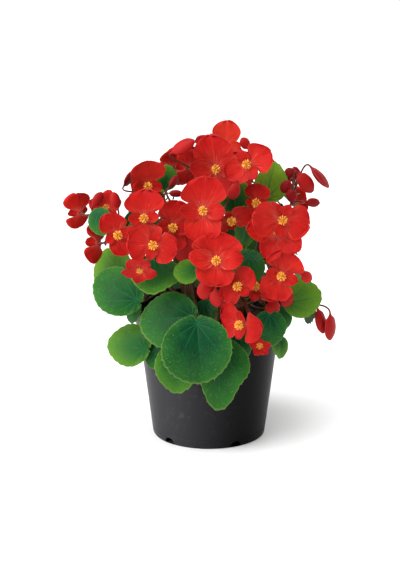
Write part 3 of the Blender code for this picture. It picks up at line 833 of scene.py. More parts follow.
class Shell:
    """Gathers skins with their finish, chart and tags, and makes them one mesh."""

    THIN_RIM = 0.65

    def __init__(self) -> None:
        """Starts empty."""
        self.points: list[np.ndarray] = []
        self.charts: list[np.ndarray] = []
        self.tags: dict[str, list[np.ndarray]] = {tag: [] for tag in TAGS}
        self.faces: list[list[int]] = []
        self.finishes: list[Finish] = []
        self.indices: list[int] = []
        self.count = 0

    def add(self, points: np.ndarray, faces: np.ndarray, finish: Finish, chart: np.ndarray,
            **tags: float | np.ndarray) -> None:
        """Adds one skin.

        Args:
            points: one row of millimetres for each point.
            faces: one row of point numbers for each face; a repeated last one makes a triangle.
            finish: what the skin is made of.
            chart: one row of two pattern coordinates for each point.
            tags: numbers that the finish reads, one for all points or one for each.
        """
        if finish not in self.finishes:
            self.finishes.append(finish)
        self.points.append(points)
        self.charts.append(chart)
        for tag in TAGS:
            value = np.asarray(tags.get(tag, 0.0), dtype=float)
            self.tags[tag].append(np.broadcast_to(value.reshape(-1), (len(points),)))
        for face in (faces + self.count).tolist():
            self.faces.append(face[:3] if face[-1] == face[-2] else face)
        self.indices += [self.finishes.index(finish)] * len(faces)
        self.count += len(points)

    def add_blade(self, grid: np.ndarray, axis: Axis, thickness: float, finish: Finish,
                  chart: np.ndarray, at: tuple, turn: Matrix, rim: np.ndarray,
                  **tags: float | np.ndarray) -> None:
        """Adds a thin leaf or tepal: its upper skin, its lower skin and its edge.

        Args:
            grid: rows of points in its own frame; the rows of a closed grid are rings.
            axis: whether the columns close to a ring.
            thickness: between the skins, thinner towards the rim.
            finish: what it is made of.
            chart: two pattern coordinates for each grid point.
            at: the place of its own frame.
            turn: the turn of its own frame.
            rim: 0 inside to 1 at the rim, for each grid point.
            tags: other numbers for the finish, one for all.
        """
        rows, columns = grid.shape[:2]
        thin = thickness * (1 - self.THIN_RIM * rim ** 6)[..., None]
        below = grid - grid_normals(grid, axis) * thin
        count = rows * columns
        loop = edge_loop(rows, columns, axis)
        ahead = np.roll(loop, -1)
        faces = [
            grid_faces(rows, columns, axis), grid_faces(rows, columns, axis, count)[:, ::-1],
            np.stack([loop, loop + count, ahead + count, ahead], axis=-1)]
        points = np.concatenate([grid.reshape(-1, 3), below.reshape(-1, 3)])
        charts = np.tile(chart.reshape(-1, 2), (2, 1))
        rims, unders = np.tile(rim.ravel(), 2), np.repeat([0.0, 1.0], count)
        if axis is Axis.CLOSED:
            ring = np.arange(columns)
            near = np.roll(ring, -1)
            faces += [fan(2 * count, ring, near), fan(2 * count + 1, near + count, ring + count)]
            points = np.concatenate([points, grid[:1].mean(axis=1), below[:1].mean(axis=1)])
            charts = np.concatenate([charts, [chart[0].mean(axis=0)] * 2])
            rims, unders = np.append(rims, [rim[0, 0]] * 2), np.append(unders, [0.0, 1.0])
        self.add(placed(points, at, turn), np.concatenate(faces), finish, charts,
                 rim=rims, under=unders, **tags)

    def add_tube(self, grid: np.ndarray, finish: Finish, **tags: float | np.ndarray) -> None:
        """Adds rings of points as a form with closed ends.

        Args:
            grid: one row of points for each ring.
            finish: what it is made of.
            tags: numbers for the finish, one for all, for each ring or for each point.
        """
        rows, sides = grid.shape[:2]
        centres = grid.mean(axis=1)
        step = np.linalg.norm(np.diff(centres, axis=0), axis=-1)
        along = np.concatenate([[0.0], np.cumsum(step)])
        ring = np.arange(sides)
        near = np.roll(ring, -1)
        chart = np.stack(np.broadcast_arrays(ring[None] / sides, along[:, None]), axis=-1)
        last, count = (rows - 1) * sides, rows * sides
        faces = np.concatenate([
            grid_faces(rows, sides, Axis.CLOSED)[:, ::-1],
            fan(count, near, ring), fan(count + 1, last + ring, last + near)])
        points = np.concatenate([grid.reshape(-1, 3), centres[[0, -1]]])
        charts = np.concatenate([chart.reshape(-1, 2), [[0.5, 0.0], [0.5, along[-1]]]])
        numbers = {}
        for tag, value in tags.items():
            value = np.asarray(value, dtype=float)
            value = value[:, None] if value.ndim == 1 else value
            spread = np.broadcast_to(value, (rows, sides)).ravel()
            numbers[tag] = np.append(spread, [spread[0], spread[-1]])
        self.add(points, faces, finish, charts, **numbers)

    def add_stalk(self, path: list[Vector], radii: np.ndarray, finish: Finish,
                  sides: int = 8, **tags: float | np.ndarray) -> None:
        """Adds a round stalk with closed ends.

        Args:
            path: the centreline.
            radii: the radius at each point of the path.
            finish: what it is made of.
            sides: how many sides it has.
            tags: numbers for the finish, one for all or one for each point of the path.
        """
        outlines = radii[:, None, None] * circle(sides)[1]
        self.add_tube(
            rings_along(path, outlines, (path[1] - path[0]).orthogonal()), finish, **tags)

    def make(self, name: str) -> bpy.types.Object:
        """Makes the gathered skins one smooth object at the origin.

        Args:
            name: the piece's name.

        Returns:
            The object.
        """
        mesh = bpy.data.meshes.new(name)
        mesh.from_pydata((np.concatenate(self.points) * MM).tolist(), [], self.faces)
        for finish in self.finishes:
            mesh.materials.append(dressed(finish))
        mesh.polygons.foreach_set("material_index", self.indices)
        for tag, values in self.tags.items():
            kept = mesh.attributes.new(tag, "FLOAT", "POINT")
            kept.data.foreach_set("value", np.concatenate(values))
        corner = np.empty(len(mesh.loops), dtype=int)
        mesh.loops.foreach_get("vertex_index", corner)
        layer = mesh.uv_layers.new(name=CHART)
        layer.data.foreach_set("uv", np.concatenate(self.charts)[corner].ravel())
        mesh.shade_smooth()
        mesh.validate()
        return shown(name, mesh)


def shown(name: str, data: bpy.types.ID) -> bpy.types.Object:
    """Puts an object in the scene.

    Args:
        name: the object's name.
        data: its mesh, light or camera.

    Returns:
        The object.
    """
    made = bpy.data.objects.new(name, data)
    bpy.context.scene.collection.objects.link(made)
    return made


def seated(piece: bpy.types.Object, slot: Slot, *nodes: str) -> None:
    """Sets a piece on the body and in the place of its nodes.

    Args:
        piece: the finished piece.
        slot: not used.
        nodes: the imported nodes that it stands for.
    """
    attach(piece, BODY)
    if nodes:
        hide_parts(*nodes)
    triangles = sum(len(face.vertices) - 2 for face in piece.data.polygons)
    LOG.info("%s: %d triangles, for %s", piece.name, triangles, ", ".join(nodes) or "no node")


# ------------------------------ what repeats


class GrowthTree:
    """A Geometry Nodes tree with named inputs, which makes a piece from a carrier mesh."""

    NAME = "growth"
    INPUTS: tuple[tuple[str, str], ...] = ()
    SHARED = (("Seed", "Int"), ("Finish", "Material"))

    def __init__(self) -> None:
        """Builds the tree once: its inputs, its shape and its finish."""
        self.tree = bpy.data.node_groups.new(self.NAME, "GeometryNodeTree")
        face = self.tree.interface
        face.new_socket("Geometry", in_out="INPUT", socket_type="NodeSocketGeometry")
        self.keys = {
            name: face.new_socket(name, in_out="INPUT", socket_type="NodeSocket" + kind).identifier
            for name, kind in (*self.INPUTS, *self.SHARED)}
        face.new_socket("Geometry", in_out="OUTPUT", socket_type="NodeSocketGeometry")
        graph = Graph(self.tree)
        outputs = graph.node("NodeGroupInput").socket.node.outputs
        given = {socket.name: Wire(graph, socket) for socket in outputs}
        shape = {"Geometry": self.shape(graph, given), "Material": given["Finish"]}
        graph.node("NodeGroupOutput", (graph.node("GeometryNodeSetMaterial", shape),))

    def shape(self, graph: Graph, given: dict[str, Wire]) -> Wire:
        """The realized shape, made from the tree's inputs by name."""
        raise NotImplementedError

    def grow(self, name: str, carrier: bpy.types.Mesh,
             values: dict[str, object]) -> bpy.types.Object:
        """Makes a piece as a plain mesh.

        Args:
            name: the piece's name.
            carrier: the mesh that the tree starts from; it is used up.
            values: the tree's inputs by name.

        Returns:
            The piece.
        """
        holder = shown(name + "_holder", carrier)
        modifier = holder.modifiers.new("grow", "NODES")
        modifier.node_group = self.tree
        for key, value in values.items():
            modifier[self.keys[key]] = value
        holder.update_tag()
        bpy.context.view_layer.update()
        graph = bpy.context.evaluated_depsgraph_get()
        made = bpy.data.meshes.new_from_object(holder.evaluated_get(graph))
        made.name = name
        bpy.data.objects.remove(holder)
        bpy.data.meshes.remove(carrier)
        return shown(name, made)


@dataclass(frozen=True)
class Sprig:
    """The sizes of a stalked head, and how much sprigs differ in size."""

    stalk_radius: float
    stalk_length: float
    head_radius: float
    head_length: float
    segments: int
    jitter: float


HAIR = Sprig(0.06, 0.55, 0.05, 0.22, 3, 0.4)
ANTHER = Sprig(0.20, 1.9, 0.52, 1.05, 6, 0.14)


class SprigTree(GrowthTree):
    """Plants a stalked head at each point of a mesh.

    Each point leans along its attribute lean, grows to its attribute size, and keeps its tone.
    """

    NAME = "sprigs"
    INPUTS = (
        ("Stalk Radius", "Float"), ("Stalk Length", "Float"), ("Head Radius", "Float"),
        ("Head Length", "Float"), ("Segments", "Int"), ("Jitter", "Float"))
    HEAD_RINGS = 4
    HEAD_RISE = 0.8

    def shape(self, graph: Graph, given: dict[str, Wire]) -> Wire:
        """Sets a stalk and a head on each point.

        Args:
            graph: the tree's graph.
            given: the tree's inputs by name.

        Returns:
            The realized sprigs.
        """
        stalk_length, head_length = given["Stalk Length"], given["Head Length"]
        stalk = graph.node("GeometryNodeMeshCylinder", {
            "Vertices": given["Segments"], "Radius": given["Stalk Radius"], "Depth": stalk_length})
        stalk = graph.node("GeometryNodeTransform", {
            "Geometry": stalk, "Translation": graph.point(0.0, 0.0, stalk_length * 0.5)})
        head = graph.node("GeometryNodeMeshUVSphere", {
            "Segments": given["Segments"], "Rings": self.HEAD_RINGS, "Radius": 1.0})
        head = graph.node("GeometryNodeTransform", {
            "Geometry": head,
            "Translation": graph.point(0.0, 0.0, stalk_length + head_length * self.HEAD_RISE),
            "Scale": graph.point(given["Head Radius"], given["Head Radius"], head_length)})
        sprig = graph.node("GeometryNodeJoinGeometry", ([stalk, head],))
        lean = graph.node(
            "GeometryNodeInputNamedAttribute", {"Name": "lean"}, data_type="FLOAT_VECTOR")
        size = graph.node("GeometryNodeInputNamedAttribute", {"Name": "size"}, data_type="FLOAT")
        luck = graph.node("FunctionNodeRandomValue", {
            "Min_001": 1.0 - given["Jitter"], "Max_001": 1.0 + given["Jitter"],
            "Seed": given["Seed"]}, "Value_001", data_type="FLOAT")
        planted = graph.node("GeometryNodeInstanceOnPoints", {
            "Points": given["Geometry"], "Instance": sprig,
            "Rotation": graph.node("FunctionNodeAlignRotationToVector", {"Vector": lean}, axis="Z"),
            "Scale": size * luck})
        real = graph.node("GeometryNodeRealizeInstances", (planted,))
        return graph.node("GeometryNodeSetShadeSmooth", (real,))

    def plant(self, name: str, feet: np.ndarray, leans: np.ndarray, sizes: np.ndarray,
              tones: np.ndarray, sprig: Sprig, finish: Finish) -> bpy.types.Object:
        """Plants a sprig at each foot.

        Args:
            name: the piece's name.
            feet: the places, in millimetres.
            leans: the way each sprig points.
            sizes: the scale of each sprig.
            tones: the tone of each sprig.
            sprig: the sizes of a sprig.
            finish: what it is made of.

        Returns:
            The planted piece as a plain mesh.
        """
        carrier = bpy.data.meshes.new(name + "_feet")
        carrier.from_pydata((feet * MM).tolist(), [], [])
        lean = carrier.attributes.new("lean", "FLOAT_VECTOR", "POINT")
        lean.data.foreach_set("vector", leans.ravel())
        for tag, values in (("size", sizes), ("tone", tones)):
            carrier.attributes.new(tag, "FLOAT", "POINT").data.foreach_set("value", values)
        return self.grow(name, carrier, {
            "Stalk Radius": sprig.stalk_radius * MM, "Stalk Length": sprig.stalk_length * MM,
            "Head Radius": sprig.head_radius * MM, "Head Length": sprig.head_length * MM,
            "Segments": sprig.segments, "Jitter": sprig.jitter, "Seed": len(feet),
            "Finish": dressed(finish)})


class CrumbTree(GrowthTree):
    """Scatters lumpy crumbs over a surface."""

    NAME = "crumbs"
    INPUTS = (("Density", "Float"), ("Radius", "Float"))
    LEAST = (0.35, 0.35, 0.25)
    MOST = (1.3, 1.1, 0.9)
    LUMP_SCALE = 700.0
    LUMP_SHARE = 1.4

    def shape(self, graph: Graph, given: dict[str, Wire]) -> Wire:
        """Strews turned and scaled balls, then pushes their skins about.

        Args:
            graph: the tree's graph.
            given: the tree's inputs by name.

        Returns:
            The realized crumbs.
        """
        strewn = graph.node("GeometryNodeDistributePointsOnFaces", {
            "Mesh": given["Geometry"], "Density": given["Density"], "Seed": given["Seed"]})
        crumb = graph.node(
            "GeometryNodeMeshIcoSphere", {"Radius": given["Radius"], "Subdivisions": 2})
        ranges = (((0.0, 0.0, 0.0), (TURN, TURN, TURN)), (self.LEAST, self.MOST))
        spin, bulk = (
            graph.node(
                "FunctionNodeRandomValue", {"Min": least, "Max": most, "Seed": given["Seed"]},
                "Value", data_type="FLOAT_VECTOR") for least, most in ranges)
        planted = graph.node("GeometryNodeInstanceOnPoints", {
            "Points": strewn, "Instance": crumb, "Rotation": spin, "Scale": bulk})
        real = graph.node("GeometryNodeRealizeInstances", (planted,))
        lumps = graph.node("ShaderNodeTexNoise", {
            "Vector": graph.node("GeometryNodeInputPosition"), "Scale": self.LUMP_SCALE,
            "Detail": 1.0}, "Color")
        push = graph.node("ShaderNodeVectorMath", (lumps, (0.5, 0.5, 0.5)), operation="SUBTRACT")
        push = graph.node("ShaderNodeVectorMath", {
            0: push, "Scale": given["Radius"] * self.LUMP_SHARE}, operation="SCALE")
        return graph.node("GeometryNodeSetPosition", {"Geometry": real, "Offset": push})


# ------------------------------ leaves and stems


@dataclass(frozen=True)
class Borne:
    """What a stalk bears: where it sits, the way it faces, and the turn of its tip from up."""

    at: tuple
    az: float
    el: float
    roll: float

    @property
    def seed(self) -> float:
        """What its variations come from."""
        return self.at[0] + self.at[2]

    @property
    def spot(self) -> Vector:
        """Where it sits."""
        return Vector(self.at)

    @property
    def turn(self) -> Matrix:
        """Turns its own frame into place.

        Returns:
            The turn whose Z faces az and el, and whose Y is its tip's way.
        """
        a, e, r = (math.radians(v) for v in (self.az, self.el, self.roll))
        out = compass(self.az, self.el)
        up = Vector((-math.sin(a) * math.sin(e), math.cos(a) * math.sin(e), math.cos(e)))
        side = up.cross(out)
        across = side * math.cos(r) + up * math.sin(r)
        along = up * math.cos(r) - side * math.sin(r)
        return Matrix((across, along, out)).transposed()


@dataclass(frozen=True)
class Leaf(Borne):
    """A leaf, which sits where its petiole joins it and faces with its upper side.

    It has a length from the petiole to the tip, the share of the stem at which it grows, its
    freshness from dark to lime green, its width and the strength of its point against the usual
    ones, and how far its halves are folded up.
    """

    length: float
    grows_at: float
    fresh: float = 0.30
    wide: float = 1.0
    point: float = 1.0
    fold: float = 0.0

    SPREAD = 0.75
    NOTCH_DEPTH = 0.74
    NOTCH_WIDTH = 0.20
    TIP_WIDTH = 0.3
    HOLLOW_DEPTH = 0.060
    HOLLOW_WIDTH = 0.32
    OBLIQUE = 0.10
    TEETH_PER_MM = 0.85
    TOOTH = 0.034
    WAVE = 0.08
    RUFFLE = 0.022
    QUILT = 0.016
    THICKNESS = 0.9
    MIDDLE = 0.5
    BEHIND = 2.9
    OVER_RIM = 10.0
    PETIOLE_R = 1.5
    PETIOLE_SHARE = 0.045
    PETIOLE_STEPS = 14
    PETIOLE_FLARE = (1.45, 1.15)
    PETIOLE_TONES = (0.15, 0.75)
    COLUMNS_PER_MM = 2.4
    SHARES = (0.05, 0.11, 0.19, 0.28, 0.38, 0.48, 0.58, 0.68, 0.77, 0.85, 0.91, 0.955, 0.985, 1.0)

    def reach(self, angle: np.ndarray) -> np.ndarray:
        """Draws the outline: a circle off the petiole, notched, pointed and oblique.

        Args:
            angle: turns about the petiole, 0 at the tip.

        Returns:
            The distance from the petiole at each angle.
        """
        radius = self.length / (1 + self.SPREAD)
        spread = self.SPREAD * radius
        reach = spread * np.cos(angle) + np.sqrt(radius ** 2 - (spread * np.sin(angle)) ** 2)
        notch = 1 - self.NOTCH_DEPTH * bell(np.abs(angle), np.pi, self.NOTCH_WIDTH)
        sharp = self.point * (0.09 + 0.04 * vary(self.at[0], 6))
        hollow = self.HOLLOW_DEPTH * max(0.0, self.point - 1)
        tip = 1 + sharp * bell(angle, 0.0, self.TIP_WIDTH)
        tip -= hollow * bell(np.abs(angle), 0.50, self.HOLLOW_WIDTH)
        oblique = 1 + self.OBLIQUE * math.copysign(1, vary(self.at[0], 1)) * np.sin(angle)
        return reach * notch * tip * oblique

    def surface(self, angle: np.ndarray, share: np.ndarray) -> np.ndarray:
        """Shapes the upper skin: folded, dished, waved, ruffled and quilted between its veins.

        Args:
            angle: turns about the petiole, 0 at the tip.
            share: shares of the reach, 1 at the rim.

        Returns:
            The skin's points in the leaf's own frame.
        """
        teeth = max(10, round(self.length * self.TEETH_PER_MM))
        tooth = self.TOOTH * np.abs(np.sin(angle * teeth / 2 + vary(self.seed, 9))) * share ** 18
        reach = self.reach(angle) * (1 + tooth - 0.018)
        x = -share * reach * np.sin(angle) * self.wide
        y = share * reach * np.cos(angle)
        radius = self.length / (1 + self.SPREAD)
        off = np.hypot(x, y - self.SPREAD * radius) / radius
        far = np.hypot(x, y) / self.length
        turns = angle * (1 + LeafBlade.vein_fan * share) / LeafBlade.vein_step
        fold = (self.fold + 0.16 + 0.10 * vary(self.seed, 2)) * np.abs(x)
        dish = (-0.16 + 0.08 * vary(self.seed, 3)) * radius * (off ** 2 - self.SPREAD ** 2)
        wave = self.WAVE * radius * far ** 2 * np.sin(3 * angle + 3 * vary(self.seed, 4))
        ruffle = self.RUFFLE * radius * share ** 4 * np.sin(8 * angle + 6 * vary(self.seed, 5))
        quilt = self.QUILT * self.length * np.sin(np.pi * turns) ** 2 * share * (1.15 - share)
        return np.stack([x, y, fold + dish + wave + ruffle + quilt], axis=-1)

    def hangs(self) -> bool:
        """Whether it hangs outside the pot's lip."""
        return self.at[2] < NurseryPot.HEIGHT + self.OVER_RIM

    def joint(self) -> Vector:
        """Where its petiole starts, behind the blade."""
        behind = self.BEHIND + (0.05 * self.length if self.hangs() else 0.0)
        return self.spot - self.turn.col[2] * behind

    def petiole(self, root: Vector, tangent: Vector) -> list[Vector]:
        """Runs the petiole from the blade to the stem, over the pot's lip where it has to.

        Args:
            root: where it grows from the stem.
            tangent: the stem's way there.

        Returns:
            The points of its centreline.
        """
        tip, out = self.turn.col[1], self.turn.col[2]
        joint = self.joint()
        far = (root - joint).length
        arrive = joint - (tip * 0.4 + out * 0.8).normalized() * 0.3 * far
        lean = root + (tangent + (joint - root).normalized()) * 0.2 * far
        if self.hangs():
            outward = Vector((self.at[0], self.at[1], 0)).normalized()
            height = NurseryPot.HEIGHT
            arrive = joint + Vector((0, 0, height + 3 * self.OVER_RIM - self.at[2]))
            lean = Vector((*(0.7 * outward * NurseryPot.LIP_R).xy, height + 2 * self.OVER_RIM))
        return bend(joint, arrive, lean, root, self.PETIOLE_STEPS)

    def grow(self, shell: Shell, root: Vector, tangent: Vector) -> tuple[np.ndarray, np.ndarray]:
        """Adds the blade and the petiole.

        Args:
            shell: where they go.
            root: where the petiole grows from the stem.
            tangent: the stem's way there.

        Returns:
            The feet of the hairs on the rim, and the ways they point.
        """
        columns = int(np.clip(round(self.length * self.COLUMNS_PER_MM), 60, 150))
        angle = (circle(columns)[0] + np.pi) % TURN - np.pi
        share, angle = np.meshgrid(self.SHARES, angle, indexing="ij")
        grid = self.surface(angle, share)
        shell.add_blade(
            grid, Axis.CLOSED, self.THICKNESS, LeafBlade(), grid[..., :2] / self.length + 0.5,
            self.at, self.turn, share, tone=self.fresh + 0.08 * vary(self.seed, 7),
            size=self.length)
        path = self.petiole(root, tangent)
        middle = self.spot - self.turn.col[2] * self.MIDDLE
        path = [middle, middle.lerp(path[0], 0.5), *path]
        thin = min(self.PETIOLE_R, self.PETIOLE_SHARE * self.length)
        radii = np.linspace(thin, 1.1 * thin, len(path)) * np.linspace(1.0, 1.1, len(path))
        radii[:2] *= self.PETIOLE_FLARE
        shell.add_stalk(path, radii, StalkSkin(), tone=np.linspace(*self.PETIOLE_TONES, len(path)))
        outward = grid[-1] - grid[-3]
        outward /= np.linalg.norm(outward, axis=-1, keepdims=True)
        feet = placed(grid[-1, ::2], self.at, self.turn)
        return feet, outward[::2] @ np.array(self.turn).T


@dataclass(frozen=True)
class Stem:
    """A leafy stem: where it stands in the soil, what it grows through, and its leaves."""

    name: str
    root: tuple
    through: tuple
    leaves: tuple = ()

    ROOT_R = 4.2
    TIP_R = 2.2
    ROOT_DEPTH = 13.7
    COLLAR = 1.5
    UNDER_SHARE = 0.06
    KNOT = 0.12
    KNOT_WIDTH = 0.018
    RIPPLE = 0.05
    SIDES = 14
    STIPULE = 7.0
    STIPULE_TURN = 1.9

    def path(self, spans: int) -> list[Vector]:
        """Runs the stem's centreline above the soil's surface.

        Args:
            spans: how many steps each stretch gets.

        Returns:
            The points of the centreline.
        """
        x, y = self.root
        collar = Vector((x, y, PottingMix.height(math.hypot(x, y)) + self.COLLAR))
        return smooth([collar, *map(Vector, self.through)], spans)

    def along(self, share: float) -> tuple[Vector, Vector, float]:
        """Finds a place on the stem.

        Args:
            share: 0 at the soil to 1 at the tip.

        Returns:
            The point, the stem's way there and its radius there.
        """
        path = self.path(3)
        place = min(max(share, 0.0), 1.0) * (len(path) - 1)
        index = min(int(place), len(path) - 2)
        point = path[index].lerp(path[index + 1], place - index)
        radius = self.ROOT_R + (self.TIP_R - self.ROOT_R) * (place + 1) / len(path)
        return point, (path[index + 1] - path[index]).normalized(), radius

    def grow(self, sprigs: SprigTree) -> None:
        """Builds the stem with its leaves as one piece, and the hairs of their rims as another.

        Args:
            sprigs: what plants the hairs.
        """
        shell = Shell()
        self.add_cane(shell)
        rims, sizes = [], []
        for leaf in self.leaves:
            point, tangent, radius = self.along(leaf.grows_at)
            away = square_to(leaf.spot - point, tangent)
            for turn in (-self.STIPULE_TURN, self.STIPULE_TURN):
                side = Matrix.Rotation(turn, 3, tangent) @ away
                add_bract(shell, point + side * radius * 0.8, side * 0.7 + tangent,
                          side - tangent * 0.7, self.STIPULE, 0.6)
            rims.append(leaf.grow(shell, point, tangent))
            sizes.append(np.full(len(rims[-1][0]), 0.6 + 0.008 * leaf.length))
        seated(shell.make(f"leaves_{self.name}"), Slot.LEAF, f"stem_{self.name}")
        feet, leans = (np.concatenate(part) for part in zip(*rims))
        sizes = np.concatenate(sizes)
        tones = np.zeros(len(sizes))
        hairs = sprigs.plant(f"hairs_{self.name}", feet, leans, sizes, tones, HAIR, Down())
        seated(hairs, Slot.LEAF)

    def add_cane(self, shell: Shell) -> None:
        """Adds the bare stem, rooted in the soil and swollen at its knots.

        Args:
            shell: where it goes.
        """
        path = self.path(12)
        foot = Vector((*self.root, PottingMix.TOP - self.ROOT_DEPTH))
        path = [foot, foot.lerp(path[0], 0.5), *path]
        place = np.linspace(0.0, 1.0, len(path))
        near = np.zeros(len(path))
        for leaf in self.leaves:
            knot = self.UNDER_SHARE + (1 - self.UNDER_SHARE) * leaf.grows_at
            near = np.maximum(near, bell(place, knot, self.KNOT_WIDTH))
        radii = self.ROOT_R + (self.TIP_R - self.ROOT_R) * place
        radii = radii * (1 + self.KNOT * near - self.RIPPLE * np.sin(place * 40) ** 2)
        shell.add_stalk(path, radii, StalkSkin(), self.SIDES, tone=0.62 - 0.25 * place, rim=near)


# ------------------------------ flowers


@dataclass(frozen=True)
class Tepal:
    """One tepal, whose base is at the flower's middle and whose tip is along +Y."""

    length: float
    width: float
    blunt: float
    opening: float
    cup: float
    flare: float
    seed: float

    HUB_SHARE = 0.03
    THICKNESS = 0.62
    CURL = 0.32
    SKEW = 0.12
    NICK = 0.06
    WAVE = 0.04
    RUFFLE = 0.034
    CREASE = 0.022
    RIDGE = 0.05

    def surface(self, along: np.ndarray, across: np.ndarray) -> np.ndarray:
        """Shapes the upper skin: clawed, cupped, waved, curled, creased and ridged.

        Args:
            along: 0 at the base to 1 at the tip.
            across: -1 at one side to 1 at the other.

        Returns:
            The skin's points in the tepal's own frame.
        """
        y = self.length * along
        claw = 0.2 * self.HUB_SHARE * self.length + (1.25 + self.flare * along * along) * y
        full = 0.5 * self.width * (4 * along * (1 - along)) ** self.blunt
        nick = 1 - self.NICK * np.abs(np.sin(2.5 * across * np.pi + self.seed)) * along ** 6
        x = across * full / (1 + (full / claw) ** 8) ** 0.125
        x = x * (1 + 0.05 * np.sin(9 * along + self.seed))
        x = x + self.SKEW * vary(self.seed, 10) * y * along
        y = y * nick
        rise = math.radians(self.opening)
        dish = self.cup * x * x / self.width
        far = np.abs(across) ** 3
        lift = y * math.sin(rise) - 0.22 * y * along
        wave = self.WAVE * self.width * along * far * np.sin(4 * along + 3 * vary(self.seed, 5))
        ruffle = self.RUFFLE * self.width * along ** 2 * (0.25 + far) * np.sin(
            8 * across + 3 * along + 5 * vary(self.seed, 6))
        curl = self.CURL * vary(self.seed, 9) * self.length * np.clip(along - 0.5, 0, 1) ** 2
        crease = -self.CREASE * self.width * bell(across, 0.0, 0.10) * along * (1 - along)
        ridges = np.sin(34 * across + 9 * vary(self.seed, 7)) * np.sin(np.pi * along)
        height = lift + dish + wave + ruffle + curl + crease + self.RIDGE * ridges
        out = y * math.cos(rise) - 0.4 * dish * math.sin(rise)
        return np.stack([x, out, height], axis=-1)

    def grow(self, shell: Shell, at: tuple, turn: Matrix, tone: float, fine: bool) -> None:
        """Adds the tepal.

        Args:
            shell: where it goes.
            at: the middle of its flower.
            turn: the turn of its own frame.
            tone: the painted light on it: a high tone lights it, a low one shades it.
            fine: whether it is large enough to need a close grid.
        """
        rows, columns = (20, 25) if fine else (13, 13)
        along = 0.028 + 0.9705 * np.sin(np.linspace(0, math.pi / 2, rows)) ** 1.3
        across = np.sin(np.linspace(math.pi / 2, -math.pi / 2, columns))
        along, across = np.meshgrid(along, across, indexing="ij")
        grid = self.surface(along, across)
        swing = np.arctan2(grid[..., 0], np.maximum(grid[..., 1], 0.05 * self.length))
        # The rim number thins the edge and places the painted rim highlight; the tone sets the
        # tepal's painted light.
        shell.add_blade(
            grid, Axis.OPEN, self.THICKNESS, TepalSkin(),
            np.stack([swing / math.pi + 0.5, along], axis=-1), at, turn,
            np.maximum(np.abs(across), along) ** 2, tone=tone + 0.15 * vary(self.seed, 8))


def add_bract(shell: Shell, base: Vector, tip: Vector, out: Vector, length: float,
              tone: float) -> None:
    """Adds a small green bract or stipule.

    Args:
        shell: where it goes.
        base: where it grows.
        tip: the way it points.
        out: the way it faces.
        length: from its base to its tip.
        tone: how fresh it is.
    """
    across = tip.cross(out).normalized()
    turn = Matrix((across, tip.normalized(), across.cross(tip.normalized()))).transposed()
    shape = Tepal(length, 0.62 * length, 0.6, 8.0, 0.7, 9.0, base.x + base.z)
    along = np.sin(np.linspace(0.02, math.pi / 2 - 0.01, 9))
    along, side = np.meshgrid(along, np.linspace(1.0, -1.0, 9), indexing="ij")
    grid = shape.surface(along, side)
    size = 2.6 * length
    shell.add_blade(
        grid, Axis.OPEN, 0.35, LeafBlade(), grid[..., :2] / size + 0.5, base, turn,
        np.maximum(np.abs(side), along), tone=tone, size=size)


@dataclass(frozen=True)
class Flowering(Borne):
    """A flower or a bud of one size, on its own pedicel."""

    size: float

    PEDICEL_STEPS = 12
    PEDICEL_TONES = (1.0, 0.7)

    def back_to(self, start: Vector, way: Vector, root: Vector) -> list[Vector]:
        """Runs the pedicel back to its root.

        Args:
            start: where it leaves the flower or bud.
            way: the way it leaves.
            root: where it grows from the peduncle.

        Returns:
            The points of its centreline.
        """
        far = (root - start).length
        lean = root + (start - root) * 0.3 + Vector((0, 0, 0.1 * far))
        return bend(start, start + way * min(0.35 * far, 11), lean, root, self.PEDICEL_STEPS)

    def add_pedicel(self, shell: Shell, path: list[Vector], radii: np.ndarray) -> None:
        """Adds the pedicel, reddest at the flower."""
        shell.add_stalk(path, radii, StalkSkin(), tone=np.linspace(*self.PEDICEL_TONES, len(path)))


